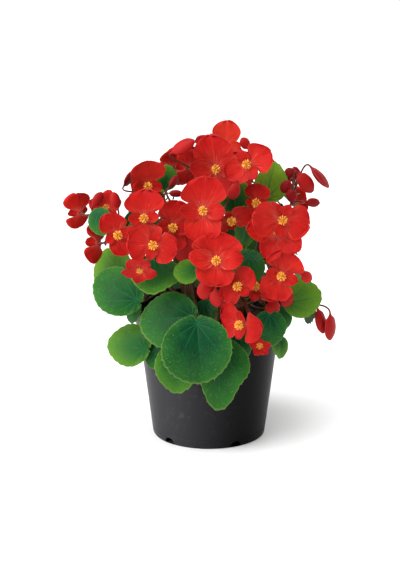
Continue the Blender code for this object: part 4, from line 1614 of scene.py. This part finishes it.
@dataclass(frozen=True)
class Bloom(Flowering):
    """An open flower: male with two large and two small tepals, or female with five.

    wide is a large tepal's width against its length, side a small tepal's length against the
    flower's size, and opening how many degrees the tepals rise from flat.
    """

    wide: float = 1.1
    side: float = 0.37
    opening: float = 22.0
    female: bool = False
    # tone paints the flower's light: a high tone paints it lit, a low one paints it shaded.
    tone: float = 0.6

    LARGE = ((0.54, 1.08), (0.50, 1.03))
    WIDE_OPEN = 30
    BALL_R = 4.7
    SMALL_BALL = 0.72
    COLUMN = 2.0
    GAP = 0.3
    PEDICEL_R = 0.95
    PEDICEL_FLARE = (2.3, 2.0, 1.2)
    COLUMN_RADII = (1.3, 1.0, 1.2)
    OVARY_LENGTH = 10.0
    STAMENS = 44
    STIGMAS = 24
    STAMEN_ROOT = 0.9
    BALL_SHARE = 1.55
    SWAY = 0.16
    SWAY_TURNS = (12.9, 78.2, 37.7)
    OVARY = ((0.0, 1.1, 1.2), (1.2, 1.5, 3.6), (2.4, 1.7, 4.6), (4.0, 1.9, 5.1), (5.8, 1.9, 5.2),
             (7.4, 1.8, 4.8), (8.8, 1.4, 3.2), (10.0, 1.1, 1.4), (11.0, 0.9, 0.9))

    def large(self, index: int) -> Tepal:
        """Sizes one of a male flower's large tepals.

        Args:
            index: 0 or 2, its turn in quarters.

        Returns:
            The tepal.
        """
        share, full = self.LARGE[index // 2]
        length = self.size * share
        width = length * self.wide * full * (1 + 0.05 * vary(self.seed, 14 + index))
        opening = self.opening + 3 * vary(self.seed, index)
        return Tepal(length, width, 0.5, opening, 0.35, 9.0, self.seed + index)

    def small(self, index: int) -> Tepal:
        """Sizes one of a male flower's small tepals, raised above the large ones or laid below.

        Args:
            index: 1 or 3, its turn in quarters.

        Returns:
            The tepal.
        """
        length = self.size * (self.side + 0.02 * vary(self.seed, index))
        opening = self.opening + (14 if self.opening < self.WIDE_OPEN else -14)
        return Tepal(length, 0.62 * length, 0.6, opening, 0.4, 0.0, self.seed + index)

    def even(self, index: int) -> Tepal:
        """One of a female flower's five tepals."""
        length = self.size * (0.50 + 0.04 * vary(self.seed, index))
        return Tepal(length, 0.68 * length, 0.60, self.opening + 8, 0.5, 0.0, self.seed + index)

    def tepals(self) -> list[tuple[float, Tepal]]:
        """Sets the tepals round the flower's middle.

        Returns:
            Each tepal, after its turn in degrees.
        """
        if self.female:
            return [(72 * index, self.even(index)) for index in range(5)]
        return [
            (90 * index + 6 * vary(self.seed, 16 + index),
             self.small(index) if index % 2 else self.large(index)) for index in range(4)]

    def grow(self, shell: Shell, root: Vector) -> None:
        """Adds the tepals, the pedicel, a female flower's ovary and the stamens' column.

        Args:
            shell: where they go.
            root: where the pedicel grows from the peduncle.
        """
        at, turn = self.spot, self.turn
        out = turn.col[2]
        # The tone that paints the flower's light and shade varies a little.
        tone = self.tone + 0.12 * vary(self.seed, 11)
        for index, (spin, tepal) in enumerate(self.tepals()):
            turned = turn @ Matrix.Rotation(math.radians(spin), 3, "Z")
            tepal.grow(shell, self.at, turned, tone, not self.female and index % 2 == 0)
        if self.female:
            self.add_ovary(shell)
            path = self.back_to(at - out * self.OVARY_LENGTH, -out, root)
            radii = np.full(len(path), self.PEDICEL_R)
        else:
            path = [at + out * 0.2, at - out * 1.4, *self.back_to(at - out * 4, -out, root)]
            radii = np.full(len(path), self.PEDICEL_R)
            radii[:3] = self.PEDICEL_FLARE
        self.add_pedicel(shell, path, radii)
        lift = self.ball_lift()
        base = [at - out * 0.3, at + out * (0.5 * lift), at + out * lift]
        shell.add_stalk(base, np.array(self.COLUMN_RADII), Pollen(), tone=0.9)

    def add_ovary(self, shell: Shell) -> None:
        """Adds the three-winged ovary behind a female flower.

        Args:
            shell: where it goes.
        """
        depth, core, reach = np.array(self.OVARY).T
        angle, ring = circle(36)
        wing = (0.5 + 0.5 * np.cos(3 * angle)) ** 7
        radius = core[:, None] + (reach - core)[:, None] * wing
        path = [self.spot - self.turn.col[2] * float(back) for back in depth]
        grid = rings_along(path, radius[..., None] * ring, self.turn.col[1])
        # The wings carry the bud skin's painted highlight.
        shell.add_tube(grid, BudSkin(), rim=np.broadcast_to(wing, radius.shape), size=8.0)

    def ball_scale(self) -> float:
        """The size of its ball of stamens or stigmas."""
        return self.SMALL_BALL if self.female or self.opening > self.WIDE_OPEN else 1.0

    def ball_lift(self) -> float:
        """How far its ball's middle stands before the tepals."""
        return self.GAP + self.ball_scale() * (self.BALL_R + self.COLUMN)

    def stamens(self) -> tuple[np.ndarray, np.ndarray, np.ndarray, np.ndarray]:
        """Spreads its stamens evenly over a ball, each a little astray.

        Returns:
            Their feet, leans, sizes and tones.
        """
        turn = np.array(self.turn)
        scale = self.ball_scale()
        centre = np.array(self.at) + turn[:, 2] * self.ball_lift()
        count = self.STIGMAS if self.female else self.STAMENS
        index = np.arange(count) + 0.5
        height = 1 - index * self.BALL_SHARE / count
        angle = index * GOLDEN_TURN + vary(self.seed, 12)
        ring = np.sqrt(1 - height ** 2)
        ways = np.stack([ring * np.cos(angle), ring * np.sin(angle), height], axis=-1)
        ways += self.SWAY * np.sin(index[:, None] * np.array(self.SWAY_TURNS) + self.seed)
        ways /= np.linalg.norm(ways, axis=-1, keepdims=True)
        tones = 0.5 + 0.5 * np.sin(index * 5.3 + self.seed)
        leans = ways @ turn.T
        feet = centre + leans * self.STAMEN_ROOT * scale
        return feet, leans, np.full(count, scale), tones


@dataclass(frozen=True)
class Bud(Flowering):
    """A closed bud: two tepals pressed into a flat lens, redder when it is ripe."""

    wide: float = 1.0
    ripe: float = 0.0

    PEDICEL_R = 0.9
    OUTLINE = ((0.52, 0.02, 0.015), (0.50, 0.13, 0.05), (0.30, 0.36, 0.13), (0.0, 0.43, 0.17),
               (-0.32, 0.34, 0.12), (-0.46, 0.14, 0.06), (-0.58, 0.04, 0.04))

    def grow(self, shell: Shell, root: Vector) -> None:
        """Adds the bud and its pedicel.

        Args:
            shell: where they go.
            root: where the pedicel grows from the peduncle.
        """
        side, tip, out = self.turn.col
        angle, _ = circle(24)
        bulge = np.sign(np.sin(angle)) * np.abs(np.sin(angle)) ** 1.35
        rings = []
        for height, wide, deep in smooth([Vector(row) for row in self.OUTLINE], 4):
            centre = np.array(self.spot + tip * height * self.size)
            across = np.cos(angle)[:, None] * np.array(side) * wide * self.size * self.wide
            rings.append(centre + across + bulge[:, None] * np.array(out) * deep * self.size)
        grid = np.array(rings)
        # seam: where the bud's painted highlight runs.
        seam = np.broadcast_to(np.abs(np.cos(angle)) ** 8, grid.shape[:2])
        shell.add_tube(grid, BudSkin(), rim=seam, size=self.size, tone=self.ripe)
        path = self.back_to(self.spot - tip * 0.56 * self.size, -tip, root)
        self.add_pedicel(shell, path, np.full(len(path), self.PEDICEL_R))


@dataclass(frozen=True)
class Spray:
    """A flower cluster: the stem it grows from, its fork, and what it carries."""

    name: str
    stem: str
    grows_at: float
    fork: tuple
    blooms: tuple
    buds: tuple = ()
    rise: float = 0.3

    CLEAR = 0.6
    STEPS = 16
    RADII = (1.45, 1.15)
    FLARE = (1.5, 1.3, 1.1)
    TONES = (0.6, 0.9)
    FORKED_SHARE = 0.6
    BRACT = 8.5

    def curve(self, stem: Stem) -> list[Vector]:
        """Runs the peduncle from the stem's side to the fork.

        Args:
            stem: what it grows from.

        Returns:
            The points of its centreline.
        """
        at, tangent, radius = stem.along(self.grows_at)
        fork = Vector(self.fork)
        away = square_to(fork - at, tangent)
        start = at + away * (radius + self.CLEAR)
        far = (fork - start).length
        drop = Vector((0, 0, self.rise * far))
        return bend(start, start + away * 0.35 * far, fork - drop, fork, self.STEPS)

    def grow(self, stem: Stem, sprigs: SprigTree) -> None:
        """Builds the spray's red parts as one piece, and its stamens as another.

        Args:
            stem: what it grows from.
            sprigs: what plants the stamens.
        """
        shell = Shell()
        path = self.curve(stem)
        full = [stem.along(self.grows_at)[0].lerp(path[0], 0.4), *path]
        radii = np.linspace(*self.RADII, len(full))
        radii[:3] *= self.FLARE
        shell.add_stalk(full, radii, StalkSkin(), tone=np.linspace(*self.TONES, len(full)))
        fork, up = path[-1], (path[-1] - path[-3]).normalized()
        for index in range(2):
            spin = Matrix.Rotation(math.pi * index + vary(fork.x, 3), 3, up)
            side = spin @ up.orthogonal().normalized()
            add_bract(shell, fork - up * 1.5, side + up * 0.8, up - side * 0.8, self.BRACT, 0.75)
        carried = [*self.blooms, *self.buds]
        for index, part in enumerate(carried):
            place = self.STEPS * (1 - self.FORKED_SHARE * index / len(carried))
            step = min(int(place), self.STEPS - 1)
            part.grow(shell, path[step].lerp(path[step + 1], place - step))
        seated(shell.make(f"flowers_{self.name}"), Slot.TEPAL, f"spray_{self.name}")
        if self.blooms:
            found = zip(*(bloom.stamens() for bloom in self.blooms))
            tuft = sprigs.plant(
                f"anthers_{self.name}", *(np.concatenate(part) for part in found), ANTHER, Pollen())
            nodes = (f"stamens_{self.name}_{index + 1}" for index in range(len(self.blooms)))
            seated(tuft, Slot.STAMEN, *nodes)


# ------------------------------ pot and soil


def lathed(profile: list[tuple[float, float]], segments: int) -> np.ndarray:
    """Turns a profile about Z.

    Args:
        profile: pairs of a radius and a height.
        segments: how many points each ring gets.

    Returns:
        A grid of points, one ring for each pair.
    """
    rings = np.array(profile, dtype=float)
    flat = rings[:, :1, None] * circle(segments)[1]
    rise = np.broadcast_to(rings[:, 1:, None], (len(rings), segments, 1))
    return np.concatenate([flat, rise], axis=-1)


@dataclass(frozen=True)
class NurseryPot:
    """The moulded pot, turned from its profile, with drain holes round its base."""

    wall: float = 1.3
    rim_height: float = 24.0
    pad_r: float = 26.0
    foot_in_r: float = 47.5
    channel_rise: float = 2.5
    corner_r: float = 1.3
    corner_rise: float = 1.6
    lip_r: float = 0.85
    band_r: float = 0.6
    seam_depth: float = 0.22
    seam_heights: tuple = (7.6, 7.8, 8.3, 8.5)
    drains: int = 5
    drain_r: float = 6.4
    drain_first: float = 28.0
    drain_sides: int = 40
    web: float = 0.5
    segments: int = 176
    sharp: float = 32.0

    HEIGHT = 130.0
    BASE_R = 55.2
    WALL_FOOT = 1.2
    LIP_R = 75.0
    RIM_STEP = 2.0

    @classmethod
    def wall_radius(cls, height: float) -> float:
        """The outer radius of the wall at a height, without its band and corner."""
        foot = cls.BASE_R + cls.WALL_FOOT
        return foot + (cls.LIP_R - cls.RIM_STEP - foot) * height / cls.HEIGHT

    @property
    def band(self) -> float:
        """The height where the band under the lip starts."""
        return self.HEIGHT - self.rim_height

    def profile(self) -> list[tuple[float, float]]:
        """Draws the pot's section.

        Returns:
            Radius and height, from the pad under the base to the wall's foot inside.
        """
        outer, band, channel = self.wall_radius, self.band, self.channel_rise
        floor = channel + self.wall
        step = outer(band) + self.RIM_STEP
        corner = [(self.BASE_R + self.corner_r * math.sin(a), self.corner_rise * (1 - math.cos(a)))
                  for a in np.linspace(0, 1.5, 6)]
        lip = [(self.LIP_R + self.lip_r * (math.cos(a) - 1),
                self.HEIGHT + self.lip_r * (math.sin(a) - 1)) for a in np.linspace(0, math.pi, 9)]
        band_foot = [
            (step + self.band_r * (math.sin(a) - 1), band + self.band_r * (1 - math.cos(a)))
            for a in np.linspace(0, math.pi / 2, 5)]
        seam = [(outer(height) - depth, height) for height, depth in zip(
            self.seam_heights, (0.0, self.seam_depth, self.seam_depth, 0.0))]
        return [
            (self.pad_r - 0.4, 0), (self.pad_r, 0.3), (self.pad_r + 2, channel),
            (self.foot_in_r - 2, channel), (self.foot_in_r - 0.3, 0.3), (self.foot_in_r, 0),
            *corner, *seam, (outer(40), 40), (outer(75), 75), (outer(band - 2), band - 2),
            (outer(band - 0.4) + 0.15, band - 0.4), *band_foot, *lip,
            (step - self.wall, band + 1.5),
            (outer(band - 1) - self.wall, band - 1), (outer(floor) - self.wall, floor)]

    def drain(self, index: int) -> bpy.types.Object:
        """Makes the cutter of one drain hole, which leaves a web of the base below it.

        Args:
            index: which hole.

        Returns:
            The cutter.
        """
        out = compass(self.drain_first + index * 360 / self.drains, 0.0)
        hole = Shell()
        hole.add_stalk([out * (self.BASE_R - 7), out * (self.BASE_R + 4)],
                       np.full(2, self.drain_r), PotPlastic(), self.drain_sides)
        hole.points[0][:, 2] = np.maximum(hole.points[0][:, 2], self.web)
        return hole.make(f"drain_{index + 1}")

    def build(self) -> bpy.types.Object:
        """Turns the pot and cuts its drain holes.

        Returns:
            The pot.
        """
        shell = Shell()
        shell.add_tube(lathed(self.profile(), self.segments), PotPlastic())
        body = shell.make("nursery_pot")
        cutters = [self.drain(index) for index in range(self.drains)]
        for cutter in cutters:
            taken = body.modifiers.new("drain", "BOOLEAN")
            taken.operation, taken.solver, taken.object = "DIFFERENCE", "EXACT", cutter
        graph = bpy.context.evaluated_depsgraph_get()
        mesh = bpy.data.meshes.new_from_object(body.evaluated_get(graph))
        for old in (body, *cutters):
            bpy.data.objects.remove(old)
        mesh.shade_smooth()
        mesh.set_sharp_from_angle(angle=math.radians(self.sharp))
        pot = shown("nursery_pot", mesh)
        seated(pot, Slot.POT, "pot")
        return pot


@dataclass(frozen=True)
class PottingMix:
    """The peat that fills the pot, with crumbs on its surface."""

    clear: float = 1.6
    bedding: float = 7.0
    relief: float = 1.5
    rings: int = 34
    segments: int = 132
    crumbs_per_mm2: float = 0.085
    crumb_r: float = 1.25
    crumb_seed: int = 5

    TOP = 113.0
    DOME = 3.0
    LUMPS = ((0.06, 3.1, 0.55), (0.35, 7.7, 0.45))

    @classmethod
    def height(cls, radius: float) -> float:
        """The height of the surface at a distance from the middle."""
        return cls.TOP + cls.DOME * (1 - (radius / NurseryPot.wall_radius(cls.TOP)) ** 2)

    def surface(self, x: float, y: float) -> float:
        """Adds wide and fine lumps to the surface.

        Args:
            x: the place to the right of the middle.
            y: the place behind the middle.

        Returns:
            The surface's height there.
        """
        lumps = sum(
            share * noise.noise(Vector((x * scale, y * scale, level)))
            for scale, level, share in self.LUMPS)
        return self.height(math.hypot(x, y)) + self.relief * lumps

    def build(self, crumbs: CrumbTree) -> None:
        """Builds the fill, and the crumbs on its surface.

        Args:
            crumbs: what scatters them.
        """
        pot = NurseryPot()
        edge = pot.wall_radius(pot.band) + pot.RIM_STEP - self.clear
        floor = pot.channel_rise + self.bedding
        low = lathed([
            (pot.wall_radius(floor) - self.clear, floor),
            (pot.wall_radius(pot.band - 1) - self.clear, pot.band - 0.6),
            (edge, pot.band + 2.0)], self.segments)
        shares = np.linspace(1.0, 0.02, self.rings)
        top = lathed([(edge * share, 0.0) for share in shares], self.segments)
        for point in top.reshape(-1, 3):
            point[2] = self.surface(point[0], point[1])
        shell = Shell()
        shell.add_tube(np.concatenate([low, top]), Peat())
        seated(shell.make("peat_fill"), Slot.SOIL, "soil")
        mesh = bpy.data.meshes.new("peat_surface")
        faces = grid_faces(self.rings, self.segments, Axis.CLOSED)
        mesh.from_pydata((top.reshape(-1, 3) * MM).tolist(), [], faces.tolist())
        seated(crumbs.grow("peat_crumbs", mesh, {
            "Density": self.crumbs_per_mm2 / (MM * MM), "Radius": self.crumb_r * MM,
            "Seed": self.crumb_seed, "Finish": dressed(Peat())}), Slot.SOIL)


# ------------------------------ layout

# A leaf's row is its place, az, el, roll, length and share of the stem, a flower's or bud's its
# place, az, el, roll and size. The fields with defaults follow, in the order of their class.

STEMS = (
    Stem("left_front", (-22, -26), ((-36, -42, 150), (-48, -52, 185), (-54, -54, 208)), (
        Leaf((-17, -84, 145), -15, 25, 100, 48, 0.48, 0.17),
        Leaf((-62, -68, 108), -25, 25, 92, 37, 0.15, 0.62),
        Leaf((-70, -70, 157), -20, 20, 66, 46, 0.55, 0.33, 0.88),
        Leaf((-53, -54, 191), 0, 68, 180, 44, 0.42, 0.40),
    )),
    Stem("left", (-32, 2), ((-52, -8, 160), (-74, -18, 200), (-90, -26, 222)), (
        Leaf((-82, -50, 171), -30, 20, 53, 38, 0.55, 0.60),
        Leaf((-84, -10, 182), -85, 30, 180, 44, 0.45),
        Leaf((-105, -60, 242), -20, 10, 200, 22, 0.98, 0.24),
        Leaf((-70, -44, 147), -50, 20, 165, 20, 0.20),
        Leaf((-50, -66, 108), -25, 12, 170, 19, 0.10, 0.16),
        Leaf((-68, 16, 212), -80, 50, 150, 40, 0.70, 0.45),
    )),
    Stem("centre_left", (-12, -12), ((-20, -24, 170), (-30, -32, 220), (-38, -34, 246)), (
        Leaf((-12, -98, 142), 0, 12, 186, 55, 0.30, 0.06, 1.06, 0.4, 0.18),
        Leaf((-26, -84, 113), -5, 14, 174, 39, 0.05, 0.50),
        Leaf((-22, -66, 158), 12, 24, 165, 23, 0.35, 0.10),
        Leaf((-5, -62, 152), -16, 18, 190, 22, 0.30, 0.12),
        Leaf((-13, -92, 193), 0, 10, 98, 20, 0.62, 0.55),
        Leaf((-42, -30, 258), 20, 10, -15, 20, 0.98, 0.48),
    )),
    Stem("centre", (4, -2), ((8, -10, 180), (10, -16, 225), (9, -16, 254)), (
        Leaf((25, -41, 238), -10, 5, 8, 29, 0.85, 0.45),
        Leaf((-6, -40, 184), -5, 20, 40, 27, 0.45, 0.78, 0.9, 2.0),
    )),
    Stem("centre_right", (17, -20), ((26, -36, 160), (33, -42, 200), (38, -40, 226)), (
        Leaf((25, -78, 128), 15, 8, 175, 32, 0.12, 0.12),
        Leaf((38, -72, 203), -14, 22, 180, 31, 0.60, 0.26),
        Leaf((35, -52, 240), 30, 6, 172, 36, 0.98, 0.42, 0.62),
        Leaf((57, -84, 147), 10, 10, 182, 29, 0.45, 0.10),
    )),
    Stem("right", (32, 0), ((48, -8, 165), (62, -20, 208), (70, -26, 238)), (
        Leaf((74, -68, 154), 15, 15, -84, 33, 0.45, 0.76),
        Leaf((67, -68, 148), 30, 20, 180, 20, 0.35, 0.38),
        Leaf((54, -32, 248), 5, 0, -14, 32, 0.95, 1.15, 0.9),
        Leaf((66, -74, 121), 45, 20, 175, 19, 0.20, 0.52),
        Leaf((84, -12, 178), 80, 25, 180, 46, 0.62, 0.60),
        Leaf((66, 12, 203), 80, 50, 195, 30, 0.60, 0.45),
    )),
    Stem("right_front", (2, -36), ((12, -50, 130), (28, -56, 148)), (
        Leaf((8, -90, 118), 8, 10, 180, 50, 0.10, 0.20, 0.98, 2.8),
    )),
    Stem("back_left", (-18, 24), ((-32, 36, 165), (-44, 42, 205), (-46, 38, 232)), (
        Leaf((-72, 34, 166), -110, 25, 180, 50, 0.45),
        Leaf((-44, 72, 150), -150, 25, 180, 50, 0.30),
        Leaf((-34, 74, 204), 200, 35, 180, 46, 0.75, 0.50),
        Leaf((-18, 8, 218), 175, 62, 180, 34, 0.55),
        Leaf((-58, -2, 240), -105, 45, 180, 34, 0.97, 0.48),
    )),
    Stem("back", (6, 30), ((8, 40, 170), (11, 44, 220), (9, 36, 252)), (
        Leaf((0, 88, 150), 180, 25, 180, 54, 0.28),
        Leaf((34, 76, 196), 160, 35, 180, 46, 0.65, 0.45),
        Leaf((-8, 14, 264), 180, 62, 180, 36, 0.97, 0.60),
    )),
    Stem("back_right", (27, 22), ((44, 34, 160), (55, 36, 200), (58, 28, 226)), (
        Leaf((46, 74, 146), 150, 25, 180, 54, 0.35),
        Leaf((80, 34, 152), 110, 25, 180, 52, 0.45),
        Leaf((30, 6, 212), 185, 60, 180, 34, 0.55),
        Leaf((66, 0, 250), 95, 45, 180, 30, 0.97, 0.55),
    )),
)

# A bloom's tone paints its light, from 1.7 on the brightest top flower down to 0.25 on the darkest
# low one.
SPRAYS = (
    Spray("top", "centre", 0.98, (8, -20, 264), (
        Bloom((6, -48, 280), 0, 8, 0, 68, wide=0.90, side=0.44),
        Bloom((37, -60, 287), -20, 8, -55, 54, wide=0.95),
        Bloom((15, -18, 295), 5, 16, -5, 52, wide=0.92, tone=1.7),
        Bloom((-21, -24, 276), -160, 5, 10, 36),
    ), (
        Bud((-25, -36, 299), -22, 22, -58, 24, 0.66, 0.62),
        Bud((34, -30, 301), 10, 10, 30, 12, 0.95, 0.6),
    )),
    Spray("upper_left", "centre_left", 0.97, (-46, -44, 254), (
        Bloom((-61, -84, 240), 0, 15, 5, 56, wide=1.15, side=0.33),
        Bloom((-61, -44, 263), 22, 4, 0, 52, wide=1.2, opening=26.0, tone=1.1),
    ), (
        Bud((-34, -44, 267), 30, 20, -50, 14, 0.62),
        Bud((-32, -52, 257), 10, 10, -95, 13, 0.62),
    )),
    Spray("left", "left", 0.92, (-97, -24, 236), (
        Bloom((-87, -78, 223), 10, 10, 15, 45, wide=1.0),
        Bloom((-124, -30, 233), -140, 10, 0, 40, wide=1.3),
        Bloom((-106, -50, 208), -125, -6, 20, 44, wide=1.2),
        Bloom((-98, -44, 241), -5, 20, 0, 38, female=True),
    ), (
        Bud((-106, -54, 252), 20, 10, -40, 15, 0.75, 0.3),
        Bud((-89, -58, 252), 10, 5, 14, 15, 0.72, 0.6),
    )),
    Spray("left_middle", "left_front", 0.96, (-50, -62, 214), (
        Bloom((-36, -78, 231), 15, 5, -15, 53, wide=1.12),
        Bloom((-52, -96, 219), -5, 0, 80, 50, wide=1.18, side=0.33),
        Bloom((-65, -98, 197), 0, -30, 36, 39, female=True),
    )),
    Spray("middle", "centre", 0.72, (8, -50, 224), (
        Bloom((-6, -90, 249), -3, 12, 3, 64, wide=1.10, side=0.42),
        Bloom((18, -76, 238), 20, -8, -65, 44, wide=0.8, side=0.30),
        Bloom((6, -104, 205), 0, 13, 0, 52, wide=1.42, side=0.60, opening=17.0),
    ), (
        Bud((23, -74, 264), 10, 10, 160, 15, 0.85, 0.5),
        Bud((-20, -72, 212), -15, 10, 155, 34, 1.05, 0.8),
    )),
    Spray("low_front", "right_front", 0.95, (35, -69, 158), (
        Bloom((27, -102, 180), -10, 10, -45, 42, wide=1.0, tone=0.45),
        Bloom((43, -86, 172), 0, 40, -97, 54, wide=0.75, side=0.35, tone=0.35),
        Bloom((32, -114, 147), -42, 0, 88, 54, wide=1.1, side=0.33, tone=0.25),
        Bloom((47, -98, 117), 5, 50, 0, 24, female=True),
    ), (
        Bud((-4, -94, 174), 0, 10, 160, 18, 1.0, 0.6),
        Bud((7, -98, 167), -10, 0, 190, 17, 1.0, 0.6),
        Bud((60, -80, 152), 20, 10, 150, 17, 1.0, 0.6),
        Bud((74, -70, 157), 30, 10, 115, 15, 1.0, 0.6),
    )),
    Spray("right_middle", "right", 0.80, (64, -44, 228), (
        Bloom((46, -56, 250), -15, 0, 0, 38),
        Bloom((66, -92, 242), 12, 0, 78, 60, wide=1.0, side=0.32),
        Bloom((62, -84, 227), 0, 20, 158, 70, female=True),
    )),
    Spray("right_low", "right", 0.55, (76, -48, 182), (
        Bloom((67, -94, 188), 0, 5, -20, 52, wide=1.2),
    ), (
        Bud((92, -74, 181), 30, 10, -120, 13, 1.0, 1.0),
    )),
    Spray("hanging", "right", 0.12, (97, -46, 141), (), (
        Bud((108, -50, 130), 35, 10, 190, 24, 0.62, 0.4),
        Bud((117, -54, 125), 50, 0, 182, 25, 0.78, 0.4),
    ), rise=-0.2),
    Spray("upper_right", "right", 0.98, (80, -32, 250), (), (
        Bud((106, -30, 268), 80, 42, 180, 25, 0.85, 0.2),
        Bud((92, -36, 264), 28, 20, 214, 22, 0.85, 0.5),
        Bud((78, -28, 270), 0, 10, 30, 14),
        Bud((73, -44, 262), -10, 10, 150, 13),
        Bud((99, -42, 246), 20, 0, -100, 14, 0.75),
        Bud((78, -48, 254), 0, 10, 20, 12),
    )),
    Spray("back_left", "back_left", 0.97, (-50, 48, 238), (
        Bloom((-62, 62, 226), -145, 20, 0, 56),
        Bloom((-26, 68, 256), -165, 25, 0, 56),
        Bloom((-96, 16, 208), -95, 5, 0, 46),
        Bloom((-36, 18, 267), -155, 40, 0, 46),
    ), (
        Bud((-80, 40, 252), -120, 20, 40, 18),
    )),
    Spray("back", "back", 0.98, (8, 42, 264), (
        Bloom((2, 34, 280), 175, 50, 0, 52),
        Bloom((26, 80, 228), 170, 10, 0, 56),
    ), (
        Bud((26, 62, 276), 170, 20, -30, 18),
    )),
    Spray("back_right", "back_right", 0.97, (62, 38, 236), (
        Bloom((60, 62, 244), 140, 20, 0, 52),
        Bloom((86, 18, 227), 125, 15, 0, 46),
        Bloom((38, 20, 270), 120, 50, 0, 46),
    ), (
        Bud((88, 42, 256), 120, 20, 30, 18),
    )),
)


# ------------------------------ studio


@dataclass(frozen=True)
class Softbox:
    """An area light that faces the plant."""

    name: str
    az: float
    el: float
    far: float
    wide: float
    tall: float
    watts: float


@dataclass(frozen=True)
class Studio:
    """A white floor and sky, soft boxes, a broad sun and the camera."""

    aim: tuple = (-0.009, 0.0, 0.1525)
    far: float = 1.7
    elevation: float = 15.5
    lens: float = 108.0
    sensor: float = 36.0
    floor: float = 15.0
    sky: float = 0.35
    sun_power: float = 2.35
    sun_az: float = -25.0
    sun_el: float = 68.0
    sun_angle: float = 55.0
    boxes: tuple = (
        Softbox("key", -60.0, 30.0, 1.5, 1.7, 1.4, 27.0),
        Softbox("edge", 108.0, 14.0, 1.5, 0.5, 1.3, 7.0),
        Softbox("back", 165.0, 34.0, 1.6, 1.3, 1.1, 9.0),
    )
    pot_strip: Softbox = Softbox("pot_strip", -64.0, 2.0, 1.2, 0.9, 1.1, 350.0)

    CORNERS = ((-1, -1), (1, -1), (1, 1), (-1, 1))

    def build(self) -> None:
        """Builds the floor, the sky, the lights and the camera."""
        scene = bpy.context.scene
        scene.view_settings.view_transform = "Standard"
        self.lay_floor()
        scene.world = self.world()
        for box in self.boxes:
            self.light(box)
        sun = bpy.data.lights.new("overhead", "SUN")
        sun.energy = self.sun_power
        sun.angle = math.radians(self.sun_angle)
        self.hang(shown("overhead", sun), self.sun_az, self.sun_el, self.far)
        camera = bpy.data.cameras.new("camera")
        camera.lens = self.lens
        camera.sensor_width = self.sensor
        scene.camera = shown("camera", camera)
        self.hang(scene.camera, 0.0, self.elevation, self.far)

    def lay_floor(self) -> None:
        """Lays a wide square floor at height 0."""
        corners = [(x * self.floor, y * self.floor, 0) for x, y in self.CORNERS]
        data = bpy.data.meshes.new("floor")
        data.from_pydata(corners, [], [range(4)])
        data.materials.append(dressed(StudioFloor()))
        shown("floor", data)

    def world(self) -> bpy.types.World:
        """Makes the even white sky.

        Returns:
            The world that holds it.
        """
        world = bpy.data.worlds.new("studio")
        world.use_nodes = True
        world.node_tree.nodes.clear()
        graph = Graph(world.node_tree)
        glow = graph.node("ShaderNodeBackground", {"Color": WHITE, "Strength": self.sky})
        graph.node("ShaderNodeOutputWorld", (glow,))
        return world

    def light(self, box: Softbox) -> bpy.types.Object:
        """Hangs a soft box.

        Args:
            box: its place, size and power.

        Returns:
            The light.
        """
        light = bpy.data.lights.new(box.name, "AREA")
        light.shape = "RECTANGLE"
        light.size, light.size_y, light.energy = box.wide, box.tall, box.watts
        holder = shown(box.name, light)
        self.hang(holder, box.az, box.el, box.far)
        return holder

    def light_pot(self, pot: bpy.types.Object) -> None:
        """Hangs the strip that lights the pot alone.

        Args:
            pot: the only piece that it lights.
        """
        only = bpy.data.collections.new("pot_alone")
        only.objects.link(pot)
        self.light(self.pot_strip).light_linking.receiver_collection = only

    def hang(self, thing: bpy.types.Object, az: float, el: float, far: float) -> None:
        """Puts a light or a camera round the aim, and turns it to the aim.

        Args:
            thing: the light or the camera.
            az: its way from the aim, round the plant.
            el: its way from the aim, above the horizon.
            far: its distance from the aim, in metres.
        """
        way = compass(az, el)
        thing.location = Vector(self.aim) + way * far
        thing.rotation_euler = way.to_track_quat("Z", "Y").to_euler()


def main() -> None:
    """Builds every piece."""
    logging.basicConfig(level=logging.INFO, format="%(message)s")
    studio = Studio()
    studio.build()
    studio.light_pot(NurseryPot().build())
    PottingMix().build(CrumbTree())
    sprigs = SprigTree()
    for stem in STEMS:
        stem.grow(sprigs)
    stems = {stem.name: stem for stem in STEMS}
    for spray in SPRAYS:
        spray.grow(stems[spray.stem], sprigs)
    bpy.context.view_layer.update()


if __name__ == "__main__":
    main()
